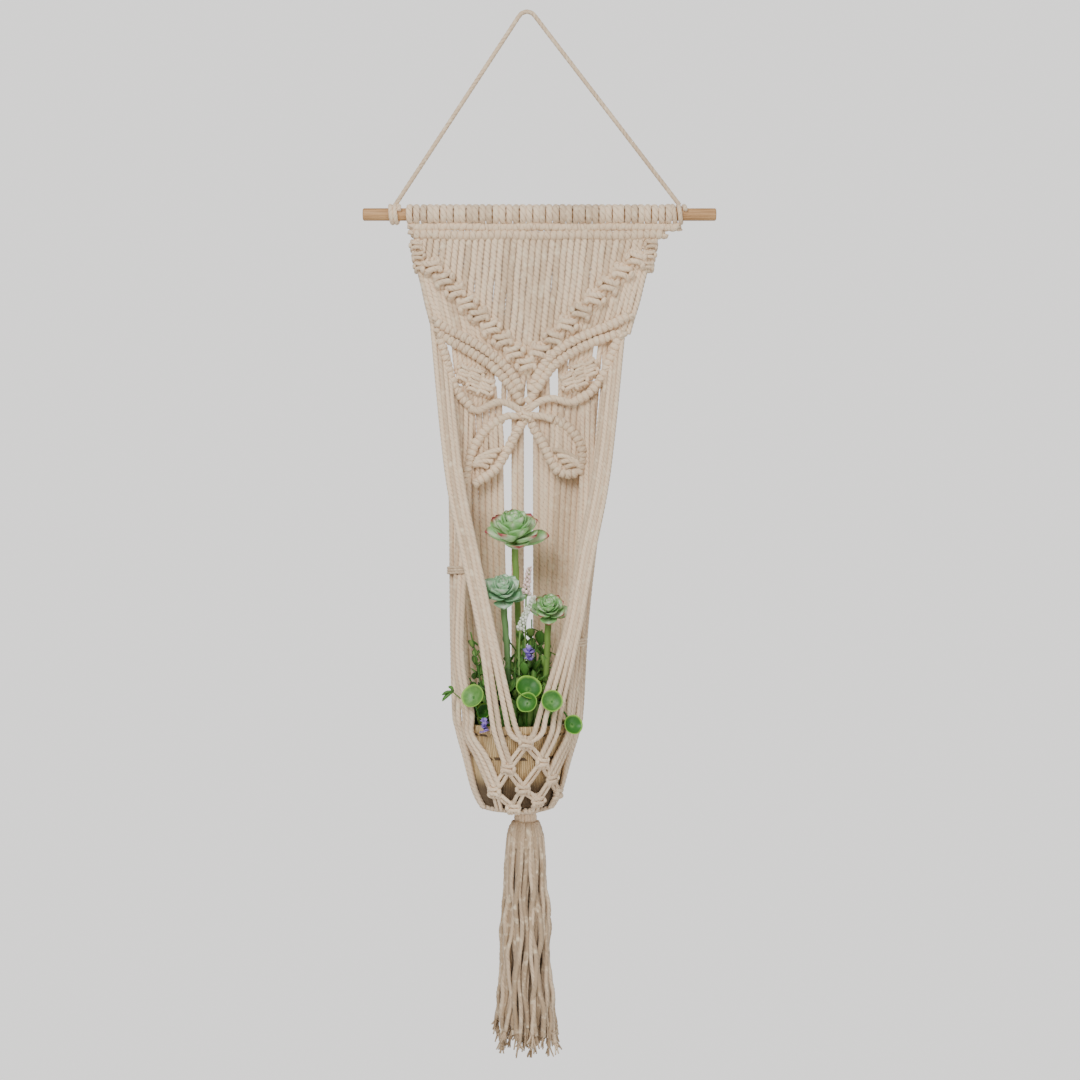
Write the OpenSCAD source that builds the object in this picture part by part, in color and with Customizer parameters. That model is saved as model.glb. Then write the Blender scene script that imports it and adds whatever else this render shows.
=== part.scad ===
// Hanging macrame planter: a knotted cord curtain on a dowel, with a potted plant in its cradle.
// The origin is where the hanging cord's loop rests on its hook. X runs along the dowel,
// -Y faces the viewer, +Y faces the wall, and Z is up.

/* [Cord] */
// Diameter of the knotting cord
cord_d = 4.4; // [4:0.1:4.5]
// Diameter of the hanging cord
hanger_d = 4.6; // [4.2:0.1:5]

/* [Dowel] */
// Drop from the hook to the dowel's axis
dowel_drop = 200.5; // [199:0.5:202]
// Diameter of the dowel
dowel_d = 12.5; // [11:0.5:14]
// Length of the dowel
dowel_len = 353; // [345:1:420]
// Offset of the dowel's middle from the hook, along the dowel
dowel_shift = 12.5; // [9:0.5:16]
// Chamfer at the dowel's ends
dowel_chamfer = 1; // [0.5:0.1:2]

/* [Knots on the dowel] */
// Number of cords folded over the dowel
mount_count = 20; // [14:1:20]
// Length of dowel taken by each folded cord
mount_pitch = 13.2; // [12.5:0.1:13.3]
// Running clearance of every loop on the dowel, on the radius
loop_gap = 0.05; // [0.02:0.01:0.09]

// Thickness of a cord where it is pressed flat on the dowel
wrap_t = 4; // [3.4:0.1:4.2]

/* [Header] */
// Thickness of the upper row of hitches
upper_row_d = 6.8; // [6.2:0.1:7.4]
// Thickness of the lower row of hitches
lower_row_d = 8.6; // [7.6:0.1:9]
// Length of the upper row
upper_row_len = 269; // [260:1:272]
// Length of the lower row
lower_row_len = 254; // [250:1:262]
// Length of row taken by one hitch
hitch_pitch = 6.6; // [5.5:0.1:7]

/* [Panel] */
// Number of strands below the header
strand_count = 38; // [30:2:38]
// Spacing of the strands below the header
strand_pitch = 6.4; // [6:0.1:6.5]
// Width of a square knot
knot_w = 13; // [11:0.5:13.5]
// Height of a square knot
knot_h = 10; // [8:0.5:10.5]
// Depth of a square knot
knot_depth = 7; // [6:0.5:7]
// Thickness of the hitch rows that outline the leaves
leaf_row_d = 7.4; // [6:0.1:8]

/* [Pot] */
// Outer diameter of the rim
pot_d = 104; // [98:1:104]
// Outer diameter of the base
pot_base_d = 74; // [66:1:75]
// Height of the pot
pot_h = 79; // [74:1:79]
// Wall thickness
pot_wall = 3; // [2:0.5:4]
// Height of the rim band
rim_h = 8; // [5:1:12]
// How far the rim band stands out of the wall
rim_out = 1.5; // [1:0.1:2]
// Depth of the soil below the rim
soil_drop = 5; // [3:1:12]
// Side clearance of the soil plug in the pot
soil_gap = 0.3; // [0.2:0.1:0.5]

/* [Cradle and tassel] */
// Clearance between the pot's base and the cords under it
seat_gap = 0.3; // [0.2:0.1:0.5]
// Diameter of the gathering knot
neck_d = 22; // [20:0.5:23]
// Clearance round the gathering knot
neck_gap = 0.3; // [0.2:0.1:0.5]
// Length of the tassel below the middle of the gathering knot
tassel_len = 232; // [180:1:260]
// Width of the tassel where the strands start
tassel_top_d = 33; // [31:1:36]
// Width of the tassel above its frayed hem
tassel_mid_d = 54; // [46:1:60]
// Width of the frayed hem
tassel_hem_d = 80; // [60:1:90]

/* [Plants] */
// Diameter of the tallest rosette
rosette_top_d = 60; // [50:1:62]
// Diameter of the left rosette
rosette_left_d = 39; // [34:1:40]
// Diameter of the right rosette
rosette_right_d = 37; // [32:1:38]
// Diameter of a rosette's stem
stem_d = 4.5; // [3.5:0.5:6]
// Diameter of a round cup leaf
cup_d = 22; // [18:1:24]

/* [Hidden] */
$fn = 48;

cotton = [0.80, 0.73, 0.65];
pine = [0.70, 0.58, 0.44];
straw = [0.72, 0.60, 0.38];
leaf_green = [0.42, 0.58, 0.32];
pale_green = [0.55, 0.66, 0.48];

dowel_z = -dowel_drop;
dowel_r = dowel_d / 2;
loop_r = dowel_r + loop_gap;
cord_r = cord_d / 2;
tie_out = loop_r + hanger_d * 0.95;
mount_left = -120;
swing_clear = 0.35;
upper_row_z = dowel_z - tie_out - swing_clear - upper_row_d / 2;
lower_row_z = upper_row_z - upper_row_d / 2 - lower_row_d / 2 + 0.2;
row_left = -116;
row_y = -1.5;

// The leaves' outlines in the panel's plane, as [x, z]
upper_left_top = [[-93, -309], [-72, -323], [-41, -343], [-16, -365], [-5, -384]];
upper_left_second = [[-86, -324], [-56, -341], [-31, -363], [-8, -388]];
upper_left_low = [[-91, -322], [-81, -356], [-65, -386], [-50, -398]];
upper_left_plain = [[-48, -398], [-34, -390], [-22, -388], [-7, -395]];
upper_right_top = [[103, -302], [69, -321], [34, -341], [12, -365], [2, -382]];
upper_right_second = [[94, -316], [60, -336], [39, -350], [22, -365], [6, -384]];
upper_right_low = [[93, -319], [79, -360], [64, -381], [40, -391]];
upper_right_plain = [[39, -392], [27, -384], [14, -388], [4, -395]];
lower_left_out = [[-6, -402], [-27, -403], [-43, -418], [-55, -446], [-63, -466]];
lower_left_in = [[-4, -410], [-15, -430], [-29, -453], [-48, -469]];
lower_right_out = [[5, -402], [30, -407], [48, -425], [54, -448], [49, -465]];
lower_right_in = [[5, -411], [15, -431], [28, -452], [42, -462]];
heart = [-1, -398];

// The V of square knots: its two upper ends and its point
v_left_end = [-95, -254];
v_right_end = [109, -246];
v_point = [-1, -351];
v_count = 8;

pot_x = -9;
pot_y = -57;
pot_floor_z = -781;
pot_rim_z = pot_floor_z + pot_h;
soil_z = pot_rim_z - soil_drop;
pot_floor_h = 4;
neck_z = -795;
neck_x = -1;
swing_gap = neck_d / 2 + neck_gap;

// How far cords stand off the rim that they pass over, and knots off the pot's face
rim_gap = 1.8;
net_off = 1.4;

// Square knots of the net as [x, z] on the pot's face
net = [[0, -717], [-17, -741], [15, -736], [-30, -764], [-3, -761], [24, -753],
    [-12, -780], [11, -773], [30, -768]];
net_links = [[0, 1], [0, 2], [1, 3], [1, 4], [2, 4], [2, 5], [3, 6], [4, 6], [4, 7], [5, 7],
    [5, 8]];

// Route of the hanging cord as [x, z]: two straight legs and a round bend over the hook
tie_left_x = dowel_shift - dowel_len / 2 + 32;
tie_right_x = dowel_shift + dowel_len / 2 - 38;
leg_foot_z = dowel_z + 9.3;
hanger_route = [[tie_left_x, leg_foot_z], [-16, -14.5], [-8, -2.3], [-4.6, 1], [0, 2.3], [4.6, 1],
    [7.6, -1.7], [17, -14], [tie_right_x + 1.5, leg_foot_z]];

function unit(v) = v / norm(v);
function tangent(p, i) = unit(p[min(i + 1, len(p) - 1)] - p[max(i - 1, 0)]);
// Catmull-Rom: a smooth curve through the points p, cut in n steps between each two
function blend(a, b, c, d, t) = 0.5 * (2 * b + (c - a) * t + (2 * a - 5 * b + 4 * c - d) * t * t
    + (3 * b - a - 3 * c + d) * t * t * t);
function curve(p, n) = [for (i = [0:len(p) - 2], k = [0:n - 1])
    blend(p[max(i - 1, 0)], p[i], p[i + 1], p[min(i + 2, len(p) - 1)], k / n), p[len(p) - 1]];
function in_plane(p, y) = [for (q = p) [q[0], y, q[1]]];
function between(a, b, t) = a + (b - a) * t;
function spread(i, n) = i - (n - 1) / 2;

function pot_r(z) = let (t = (z - pot_floor_z) / pot_h)
    pot_base_d / 2 + (pot_d / 2 - rim_out - pot_base_d / 2) * min(max(t, 0), 1);
// The point at [x, z] that stands off the pot's front by a given distance
function on_pot(x, z, off) = let (r = pot_r(z) + off)
    [x, pot_y - sqrt(max(r * r - (x - pot_x) * (x - pot_x), 1)), z];
// The point at an angle from the wall side, towards +X, that stands off the pot by a distance
function round_pot(angle, z, off) = let (r = off + (z > pot_rim_z - rim_h - cord_d ? pot_d / 2
    : pot_r(z))) [pot_x + r * sin(angle), pot_y + r * cos(angle), z];
function under_pot(angle) = round_pot(angle, pot_floor_z - cord_r - seat_gap, cord_r + seat_gap);
function over_rim(x, z, off) = let (r = pot_d / 2 + off)
    [x, pot_y - sqrt(r * r - (x - pot_x) * (x - pot_x)), z];
function net_at(i) = on_pot(net[i][0], net[i][1], knot_depth / 2 + net_off);
// The way along the pot's face at a knot of the net, square to the knot's own direction
function along(i) = [cos(net_angle(i)), -sin(net_angle(i)), 0];
function net_angle(i) = 180 - asin((net[i][0] - pot_x) / (pot_r(net[i][1]) + knot_depth / 2));

// A round tube through the points p, whose radius is r at every second ring and dip in between
module tube(p, r, dip, sides, ref) {
    n = len(p);
    points = [for (i = [0:n - 1]) let (t = tangent(p, i), u = unit(cross(t, ref)), v = cross(t, u),
        k = i % 2 == 0 ? dip : r)
        for (s = [0:sides - 1]) p[i] + k * (u * cos(s * 360 / sides) + v * sin(s * 360 / sides))];
    sides_faces = [for (i = [0:n - 2], s = [0:sides - 1]) let (a = i * sides + s,
        b = i * sides + (s + 1) % sides) each [[a, a + sides, b + sides], [a, b + sides, b]]];
    polyhedron(points, concat(sides_faces, [[for (s = [0:sides - 1]) s]],
        [[for (s = [sides - 1:-1:0]) (n - 1) * sides + s]]));
}

// A cord that keeps one thickness along its route
module cord(p, d = cord_d, sides = 6, ref = [0, 1, 0]) tube(p, d / 2, d / 2, sides, ref);

// A row of hitches round a leader cord, in the panel's plane
module leaf_row(p, steps) tube(in_plane(curve(p, steps), row_y), leaf_row_d / 2,
    leaf_row_d / 2 - 0.9, 6, [0, 1, 0]);

// A straight strand from a to b
module strand(a, b, d = cord_d) {
    v = b - a;
    translate(a) rotate([0, acos(v[2] / norm(v)), atan2(v[1], v[0])])
        rotate([0, 0, 22.5]) cylinder(d = d, h = norm(v), $fn = 8);
}

module soft_box(w, depth, h, edge) hull() {
    cube([w, depth - edge * 2, h - edge * 2], center = true);
    cube([w - edge * 2, depth, h - edge * 2], center = true);
    cube([w - edge * 2, depth - edge * 2, h], center = true);
}

// A square knot: two side loops with a band across the front
module square_knot(at, face = 0) translate(at) rotate([0, 0, face])
    soft_box(knot_w, knot_depth, knot_h, 2);

// n round turns of cord on the dowel
module loops(n, pitch, d) difference() {
    rotate_extrude() union() {
        for (i = [0:n - 1]) translate([loop_r + d * 0.45, spread(i, n) * pitch]) circle(d = d);
        translate([loop_r, -pitch * (n - 1) / 2]) square([d * 0.5, pitch * (n - 1)]);
    }
    cylinder(r = loop_r, h = pitch * n + d * 2, center = true);
}

module on_dowel(x) translate([x, 0, dowel_z]) rotate([0, 90, 0]) children();

module hanging_cord() color(cotton) cord(in_plane(hanger_route, 0), hanger_d, 8);

module hanging_tie_left() color(cotton) on_dowel(tie_left_x) loops(2, hanger_d * 0.9, hanger_d);
module hanging_tie_right() color(cotton) on_dowel(tie_right_x) loops(2, hanger_d * 1.3, hanger_d);

module dowel() color(pine) on_dowel(dowel_shift) rotate_extrude() polygon([
    [0, -dowel_len / 2], [dowel_r - dowel_chamfer, -dowel_len / 2],
    [dowel_r, -dowel_len / 2 + dowel_chamfer], [dowel_r, dowel_len / 2 - dowel_chamfer],
    [dowel_r - dowel_chamfer, dowel_len / 2], [0, dowel_len / 2]]);

// A cord folded over the dowel: two flattened turns side by side, whose ends run down
module folded_cord() {
    turn_w = mount_pitch * 0.47;
    rotate_extrude() for (side = [-1, 1]) translate([loop_r, side * turn_w / 2])
        polygon([[0, -turn_w / 2], [wrap_t * 0.6, -turn_w / 2], [wrap_t, -turn_w * 0.2],
            [wrap_t, turn_w * 0.2], [wrap_t * 0.6, turn_w / 2], [0, turn_w / 2]]);
    for (side = [-1, 1]) translate([loop_r + 1, 0, side * turn_w / 2]) rotate([0, 90, 0])
        cylinder(d = cord_d * 0.9, h = tie_out - loop_r + swing_clear, $fn = 8);
}
module mounting_knots() color(cotton) for (i = [0:mount_count - 1])
    on_dowel(mount_left + (i + 0.5) * mount_pitch) folded_cord();

module header_row(length, z, d) translate([row_left, row_y, z]) rotate([0, 90, 0]) {
    n = floor(length / hitch_pitch);
    pitch = length / n;
    rotate_extrude() difference() {
        union() {
            square([d / 2 - 0.7, length]);
            for (i = [0:n - 1]) translate([d / 2 - pitch * 0.45, (i + 0.5) * pitch])
                circle(d = pitch * 0.9);
        }
        translate([-pitch, -1]) square([pitch, length + 2]);
    }
}

module header_row_upper() color(cotton) header_row(upper_row_len, upper_row_z, upper_row_d);
module header_row_lower() color(cotton) header_row(lower_row_len, lower_row_z, lower_row_d);

// How much thinner the strands are where they are drawn together under the V
squeeze = 0.6;
// Where strand i crosses the header, the V and the leaves' upper rows
half = strand_count / 2;
function header_x(i) = 9.5 + spread(i, strand_count) * strand_pitch;
function v_x(i) = i < half ? between(-111, v_point[0] - 2.5, i / (half - 1))
    : between(v_point[0] + 2.5, 124, (i - half) / (half - 1));
function v_z(x) = x < v_point[0]
    ? between(v_left_end[1], v_point[1], (x - v_left_end[0]) / (v_point[0] - v_left_end[0]))
    : between(v_point[1], v_right_end[1], (x - v_point[0]) / (v_right_end[0] - v_point[0]));
function leaf_x(i) = i < half ? between(-92, -5.5, i / (half - 1))
    : between(3.5, 101, (i - half) / (half - 1));
function row_z(p, x) = let (q = [for (k = [0:len(p) - 2])
    if ((p[k][0] - x) * (p[k + 1][0] - x) <= 0) k])
    len(q) == 0 ? (abs(p[0][0] - x) < abs(p[len(p) - 1][0] - x) ? p[0][1] : p[len(p) - 1][1])
    : between(p[q[0]][1], p[q[0] + 1][1], (x - p[q[0]][0]) / (p[q[0] + 1][0] - p[q[0]][0]));

header_low = lower_row_z - lower_row_d / 2;
module upper_strands() color(cotton) for (i = [0:strand_count - 1])
    strand([header_x(i), 0, header_low + 1], [v_x(i), 0, min(v_z(v_x(i)) + 3, header_low - 8)]);

module edge_knots_left() color(cotton) for (i = [0:2])
    square_knot([-114 + i * 2.5, row_y, -237 - i * 12]);
module edge_knots_right() color(cotton) for (i = [0:2])
    square_knot([131 - i * 6, row_y, -234 - i * 12]);

module v_knots(end, last) color(cotton) for (i = [0:last])
    let (p = between(end, v_point, i / v_count)) square_knot([p[0], row_y, p[1]]);
module v_knots_left() v_knots(v_left_end, v_count);
module v_knots_right() v_knots(v_right_end, v_count - 1);

module middle_strands() color(cotton) for (i = [0:strand_count - 1]) {
    top = i < half ? upper_left_top : upper_right_top;
    strand([v_x(i), 0, v_z(v_x(i)) - 3], [leaf_x(i), 0, row_z(top, leaf_x(i)) + 1],
        cord_d - squeeze);
}

module wing_upper(top, second, low, plain) color(cotton) {
    leaf_row(top, 8);
    leaf_row(second, 8);
    leaf_row(low, 8);
    cord(in_plane(curve(plain, 3), row_y - 1), cord_d * 1.3);
}
module wing_upper_left()
    wing_upper(upper_left_top, upper_left_second, upper_left_low, upper_left_plain);
module wing_upper_right()
    wing_upper(upper_right_top, upper_right_second, upper_right_low, upper_right_plain);

// A mesh of square knots inside an upper leaf, in rows of two and three
module leaf_fill(x, z, lean) color(cotton)
    for (r = [0:2], c = [0:(r == 1 ? 2 : 1)])
        square_knot([x + (c - (r == 1 ? 1 : 0.5)) * (knot_w + 0.5) + r * lean, row_y,
            z - r * (knot_h + 0.5)]);
module wing_upper_left_fill() leaf_fill(-58, -357, 4);
module wing_upper_right_fill() leaf_fill(56, -355, -4);

module wing_lower(out, in) color(cotton) {
    leaf_row(out, 8);
    leaf_row(in, 8);
}
module wing_lower_left() wing_lower(lower_left_out, lower_left_in);
module wing_lower_right() wing_lower(lower_right_out, lower_right_in);

// Cords laid side by side across a lower leaf, from its outer row to its inner one
module leaf_cords(out, in, n) color(cotton) for (i = [0:n - 1]) {
    x = between(out[1][0], in[3][0] * 1.08, i / (n - 1));
    strand([x, row_y - 3.2, row_z(out, x)], [x, row_y - 3.2, row_z(in, x)], cord_d);
}
module wing_lower_left_fill() leaf_cords(lower_left_out, lower_left_in, 5);
module wing_lower_right_fill() leaf_cords(lower_right_out, lower_right_in, 4);

module body_knot() color(cotton) {
    translate([heart[0], row_y - 3, heart[1]]) soft_box(11, 9, 13, 3);
    translate([heart[0], row_y - 3, heart[1] - 10]) soft_box(7, 6, 7, 2);
}

// Back strands: 8 to the left, 4 in the middle and 8 to the right
function back_x(j, left, right, fold) = j < 8 ? between(left, left / fold, j / 7)
    : j < 12 ? [-12, -5, 5, 12][j - 8] : between(right / fold, right, (j - 12) / 7);
function back_start(x) = abs(x) > 45 ? -398 + (abs(x) - 45) * 0.8 : -392;
function back_route(j) = let (a = back_x(j, -80, 82, 2.7), b = back_x(j, -72, 68, 3),
    c = back_x(j, -62, 58, 3.4), angle = -72 + 144 * j / 19)
    curve([[a, 0, back_start(a)], [b, 0, -530], [c, 0, -660], [c * 0.95, 0.6, -704],
        round_pot(angle, -745, cord_r + rim_gap + 0.4), under_pot(angle)], 2);
module back_strands() color(cotton) for (j = [0:19]) cord(back_route(j), ref = [0, 1, 0.3]);

// Front cords: from the leaves' outer ends over the rim to the top knots of the net.
// Side -1 is the left bunch and side 1 the right one; out gives x at the upper heights.
cord_pitch = 5;
rim_x = [33.5, 28, 20.5, 14.5];
below_rim_x = [29.5, 24, 15, 7.6];
function front_end(side, k) = let (knot = side < 0 ? 1 : 2)
    k < 2 ? net_at(knot) - along(knot) * side * (3 - 5.4 * k) + [0, -1, knot_h / 2 - 1]
        : net_at(0) + [side * (2.7 + 6 * (3 - k)), -1, knot_h / 2 - 2];
function front_route(side, k, out) = let (o = spread(k, 4) * cord_pitch)
    curve([[side * (out[0] - cord_pitch * k), -6, -322 - 9 * k],
        [side * (out[1] - o), -46, -460], [side * (out[2] - o), -70, -543],
        [side * (out[3] - o), -93, -612], over_rim(side * rim_x[k], -684, cord_r + rim_gap),
        over_rim(side * below_rim_x[k], -707, cord_r + rim_gap), front_end(side, k)], 3);
module front_cords_left() color(cotton) for (k = [0:3]) cord(front_route(-1, k, [93, 70, 51, 36]));
module front_cords_right() color(cotton) for (k = [0:3]) cord(front_route(1, k, [95, 69, 52, 39]));

// Side cords: three pass the pot's flank and three fan over its face to the net. Angles are
// taken from the wall side, towards the side that the cords are on.
function flank_route(side, k, out, angle, off) =
    curve([[side * (out[0] - k * cord_pitch * 1.08), -3, -360 - 8 * k],
        [side * (out[1] - k * cord_pitch), -20, -480],
        [side * (out[2] - k * cord_pitch), -36 - 5 * k, -600],
        round_pot(side * angle, -690, off + 1), round_pot(side * angle, -708, off),
        round_pot(side * angle, -734, off * 0.6 + 1.6),
        round_pot(side * angle, -762, cord_r + 1.2), under_pot(side * angle)], 3);
function fan_turn(k, angle, knot) = between(angle, 180 - abs(180 - net_angle(knot)), 0.5)
    + spread(k, 3) * 4.5;
function fan_route(side, k, out, angle, knot) =
    curve([[side * (out[0] - k * cord_pitch * 1.04), -3, -386 - 5 * k],
        [side * (out[1] - k * cord_pitch), -24, -500],
        [side * (out[2] - k * cord_pitch * 0.8), -64 - 5 * k, -630],
        round_pot(side * angle, -688, cord_r + rim_gap),
        round_pot(side * angle, -710, cord_r + rim_gap - 0.4),
        round_pot(side * fan_turn(k, angle, knot), -732, cord_r + 2),
        net_at(knot) - along(knot) * side * (5.6 - 5.6 * k) + [0, -0.5, knot_h / 2 - 1]], 3);
module side_cords_left() color(cotton) {
    for (k = [0:2]) cord(flank_route(-1, k, [82, 76, 75], 82 + 12 * k, 11 - 3 * k));
    for (k = [0:2]) cord(fan_route(-1, k, [66, 60, 62], 116 + 7 * k, 3));
}
module side_cords_right() color(cotton) {
    for (k = [0:2]) cord(flank_route(1, k, [86, 74, 60], 82 + 8 * k, 8 - 2 * k));
    for (k = [0:2]) cord(fan_route(1, k, [66, 55, 46], 106 + 6.5 * k, 5));
}

module binding_left() color(cotton) translate([-64, -42, -556]) soft_box(9, 7, 9, 2);
module binding_right() color(cotton) translate([52, -54, -625]) soft_box(9, 7, 7, 2);

module net_knots() color(cotton) for (i = [0:8])
    square_knot(net_at(i), 180 - net_angle(i));

// Two cords side by side from knot i to a point at the same or another knot
module net_pair(i, to, across) for (s = [-1, 1])
    strand(net_at(i) + s * pair_gap * along(i), to + s * pair_gap * across, cord_d * 0.95);
pair_gap = 2.3;
module net_cords() color(cotton) {
    for (l = net_links) net_pair(l[0], net_at(l[1]), along(l[1]));
    for (i = [3, 6, 7, 8])
        net_pair(i, round_pot(net_angle(i), pot_floor_z - cord_r - seat_gap, cord_r + 1), along(i));
}

// The cords lying under the pot, which run together at the gathering knot
module cradle_gather() color(cotton) translate([pot_x, pot_y, 0]) difference() {
    rotate_extrude() polygon([[0, pot_floor_z - seat_gap],
        [pot_base_d / 2, pot_floor_z - seat_gap], [pot_base_d / 2 + 1, pot_floor_z - 2.5],
        [pot_base_d / 2 - 2, pot_floor_z - 4], [neck_d / 2 + 4, pot_floor_z - 7],
        [0, pot_floor_z - 8]]);
    translate([neck_x - pot_x, 0, neck_z]) sphere(r = swing_gap);
}

module gathering_knot() color(cotton) translate([neck_x, pot_y, neck_z]) sphere(d = neck_d);

// The bound top of the tassel, cupped round the gathering knot
module tassel_head() color(cotton) translate([neck_x, pot_y, neck_z]) difference() {
    rotate_extrude() polygon([[0, -16], [tassel_top_d / 2, -16], [tassel_top_d / 2 - 1, -8],
        [swing_gap + 2, -3], [swing_gap - 1, -3], [0, -3]]);
    sphere(r = swing_gap);
}

// The skirt of strands, with a groove between each two and an uneven hem
flutes = 28;
function skirt_r(t) = t < 0.75 ? between(tassel_top_d, tassel_mid_d, sin(t * 120)) / 2
    : between(tassel_mid_d, tassel_hem_d, pow((t - 0.75) * 4, 1.5)) / 2;
module tassel_strands() color(cotton) translate([neck_x, pot_y, neck_z - 16]) {
    levels = 8;
    side = flutes * 2;
    length = tassel_len - 16;
    points = [for (l = [0:levels], s = [0:side - 1]) let (t = l / levels, a = s * 360 / side,
        r = skirt_r(t) * (s % 2 == 0 ? 1 : 0.9),
        drop = length * t * (1 - 0.05 * t * (1 + sin(s * 137))))
        [r * cos(a), r * sin(a), -drop]];
    faces = [for (l = [0:levels - 1], s = [0:side - 1]) let (a = l * side + s,
        b = l * side + (s + 1) % side) each [[a, b, b + side], [a, b + side, a + side]]];
    top = [for (s = [side - 1:-1:0]) s];
    hem = len(points);
    polyhedron(concat(points, [[0, 0, -length * 0.95]]), concat(faces, [top],
        [for (s = [0:side - 1]) [levels * side + s, levels * side + (s + 1) % side, hem]]));
}

module pot() color(straw) translate([pot_x, pot_y, pot_floor_z]) rotate_extrude() polygon([
    [0, 0], [pot_base_d / 2, 0], [pot_r(pot_rim_z - rim_h), pot_h - rim_h],
    [pot_d / 2, pot_h - rim_h], [pot_d / 2, pot_h], [pot_d / 2 - rim_out - pot_wall, pot_h],
    [pot_base_d / 2 - pot_wall, pot_floor_h], [0, pot_floor_h]]);

module soil() color([0.13, 0.11, 0.10]) translate([pot_x, pot_y, pot_floor_z + pot_floor_h])
    rotate_extrude() polygon([[0, 0], [pot_base_d / 2 - pot_wall - soil_gap, 0],
        [pot_r(soil_z) - pot_wall - soil_gap - 0.6, pot_h - soil_drop - pot_floor_h],
        [0, pot_h - soil_drop - pot_floor_h]]);

// One fleshy leaf lying along +X, thick in the middle and pointed at its tip
module leaf(length, w) hull() {
    translate([length * 0.55, 0, 0]) soft_box(length * 0.5, w, w * 0.22, w * 0.1);
    translate([0.5, 0, 0]) cube([1, w * 0.3, w * 0.2], center = true);
    translate([length - 0.5, 0, 0]) cube([1, w * 0.15, 0.8], center = true);
}

// A rosette's head: rings of leaf tips with a groove over each, smaller towards the top
module rosette_head(d) {
    side = 48;
    rims = [0.5, 0.48, 0.4, 0.3, 0.18];
    levels = len(rims) * 2 - 1;
    step = d * 0.036;
    points = [for (l = [0:levels - 1], s = [0:side - 1]) let (k = floor(l / 2), a = s * 360 / side,
        tip = 0.74 + 0.26 * pow(abs(cos((a + k * 24) * (8 - k) / 2)), 0.8),
        r = d * rims[k] * (l % 2 == 0 ? tip : 0.5)) [r * cos(a), r * sin(a), l * step]];
    foot = len(points);
    polyhedron(concat(points, [[0, 0, -step * 1.5], [0, 0, levels * step]]), concat(
        [for (l = [0:levels - 2], s = [0:side - 1]) let (a = l * side + s,
            b = l * side + (s + 1) % side) each [[a, b + side, b], [a, a + side, b + side]]],
        [for (s = [0:side - 1]) [s, (s + 1) % side, foot]],
        [for (s = [0:side - 1]) [(levels - 1) * side + (s + 1) % side, (levels - 1) * side + s,
            foot + 1]]));
}
// A rosette on its stem, which starts in the soil and ends just under the head
module rosette(at, d, root) {
    translate(at) rosette_head(d);
    strand([root[0], root[1], soil_z + 0.2], at - [0, 0, d * 0.054 + 0.5], stem_d);
}
module rosette_top() color(leaf_green) rosette([-12, -48, soil_z + 175], rosette_top_d, [-7, -40]);
module rosette_left() color(pale_green) rosette([-19, -66, soil_z + 120], rosette_left_d, [-16, -62]);
module rosette_right() color(leaf_green) rosette([20, -69, soil_z + 103], rosette_right_d, [14, -60]);

// A round leaf, dished like a small cup and facing forwards, on a thin stalk from the soil
module cup_leaf(at, d, tilt, turn, root, over = []) {
    stalk = concat([[root[0], root[1], soil_z + 0.2]], len(over) ? [over] : [], [at + [0, 1.5, 0]]);
    for (i = [1:len(stalk) - 1]) strand(stalk[i - 1], stalk[i], 2);
    translate(at) rotate([tilt, 0, turn]) difference() {
        cylinder(d = d, h = 2.6, center = true, $fn = 24);
        translate([0, 0, -1.6]) cylinder(d1 = d - 3, d2 = d * 0.4, h = 2.2, $fn = 24);
    }
}
module cup_leaves() color(leaf_green) {
    cup_leaf([-47, -72, soil_z + 30], cup_d, -80, -18, [-38, -66]);
    cup_leaf([2, -88, soil_z + 39], cup_d * 1.05, -70, 6, [-2, -80]);
    cup_leaf([1, -98, soil_z + 23], cup_d * 0.85, -80, 0, [0, -86]);
    cup_leaf([22, -94, soil_z + 39], cup_d * 0.8, -75, 14, [16, -80]);
    cup_leaf([-40, -88, soil_z + 20], cup_d * 0.7, -75, -10, [-33, -80]);
    cup_leaf([44, -98, soil_z + 6], cup_d * 0.86, -75, 20, [26, -80], [31, -85, soil_z + 21]);
}

// The low mass of leaves round the stems
module foliage() color([0.25, 0.38, 0.20]) {
    for (i = [0:10]) {
        a = 25 + i * 137.5;
        r = 9 + 2.6 * i;
        lean = 30 - 1.7 * i;
        translate([pot_x + r * sin(a), pot_y + r * cos(a), soil_z + 1.2]) rotate([0, 0, 90 - a])
            rotate([0, -90 + lean, 0]) leaf(48 - i * 1.5, 13);
    }
    strand([-42, -68, soil_z + 0.2], [-50, -70, soil_z + 9], 1.6);
    strand([-50, -70, soil_z + 9], [-79, -84.5, soil_z + 19], 1.6);
}

module flower_spikes() color([0.85, 0.86, 0.78]) for (s = [[[-3, -66], [3, -70, soil_z + 155]],
    [[-4, -74], [1, -80, soil_z + 127]]]) {
    top = s[1];
    foot = [s[0][0], s[0][1], soil_z + 0.2];
    strand(foot, top, 1.8);
    for (i = [0:4]) translate(between(foot, top, 0.78 + i * 0.055)) soft_box(6 - i * 0.5, 6, 5, 1.4);
}

module purple_flowers() color([0.44, 0.38, 0.60]) for (s = [[[2, -82], [0, -84, soil_z + 71]],
    [[-33, -88], [-34, -91, soil_z + 11]]]) {
    strand([s[0][0], s[0][1], soil_z + 0.2], s[1], 1.6);
    translate(s[1]) soft_box(9, 7, 10, 2.4);
}

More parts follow.
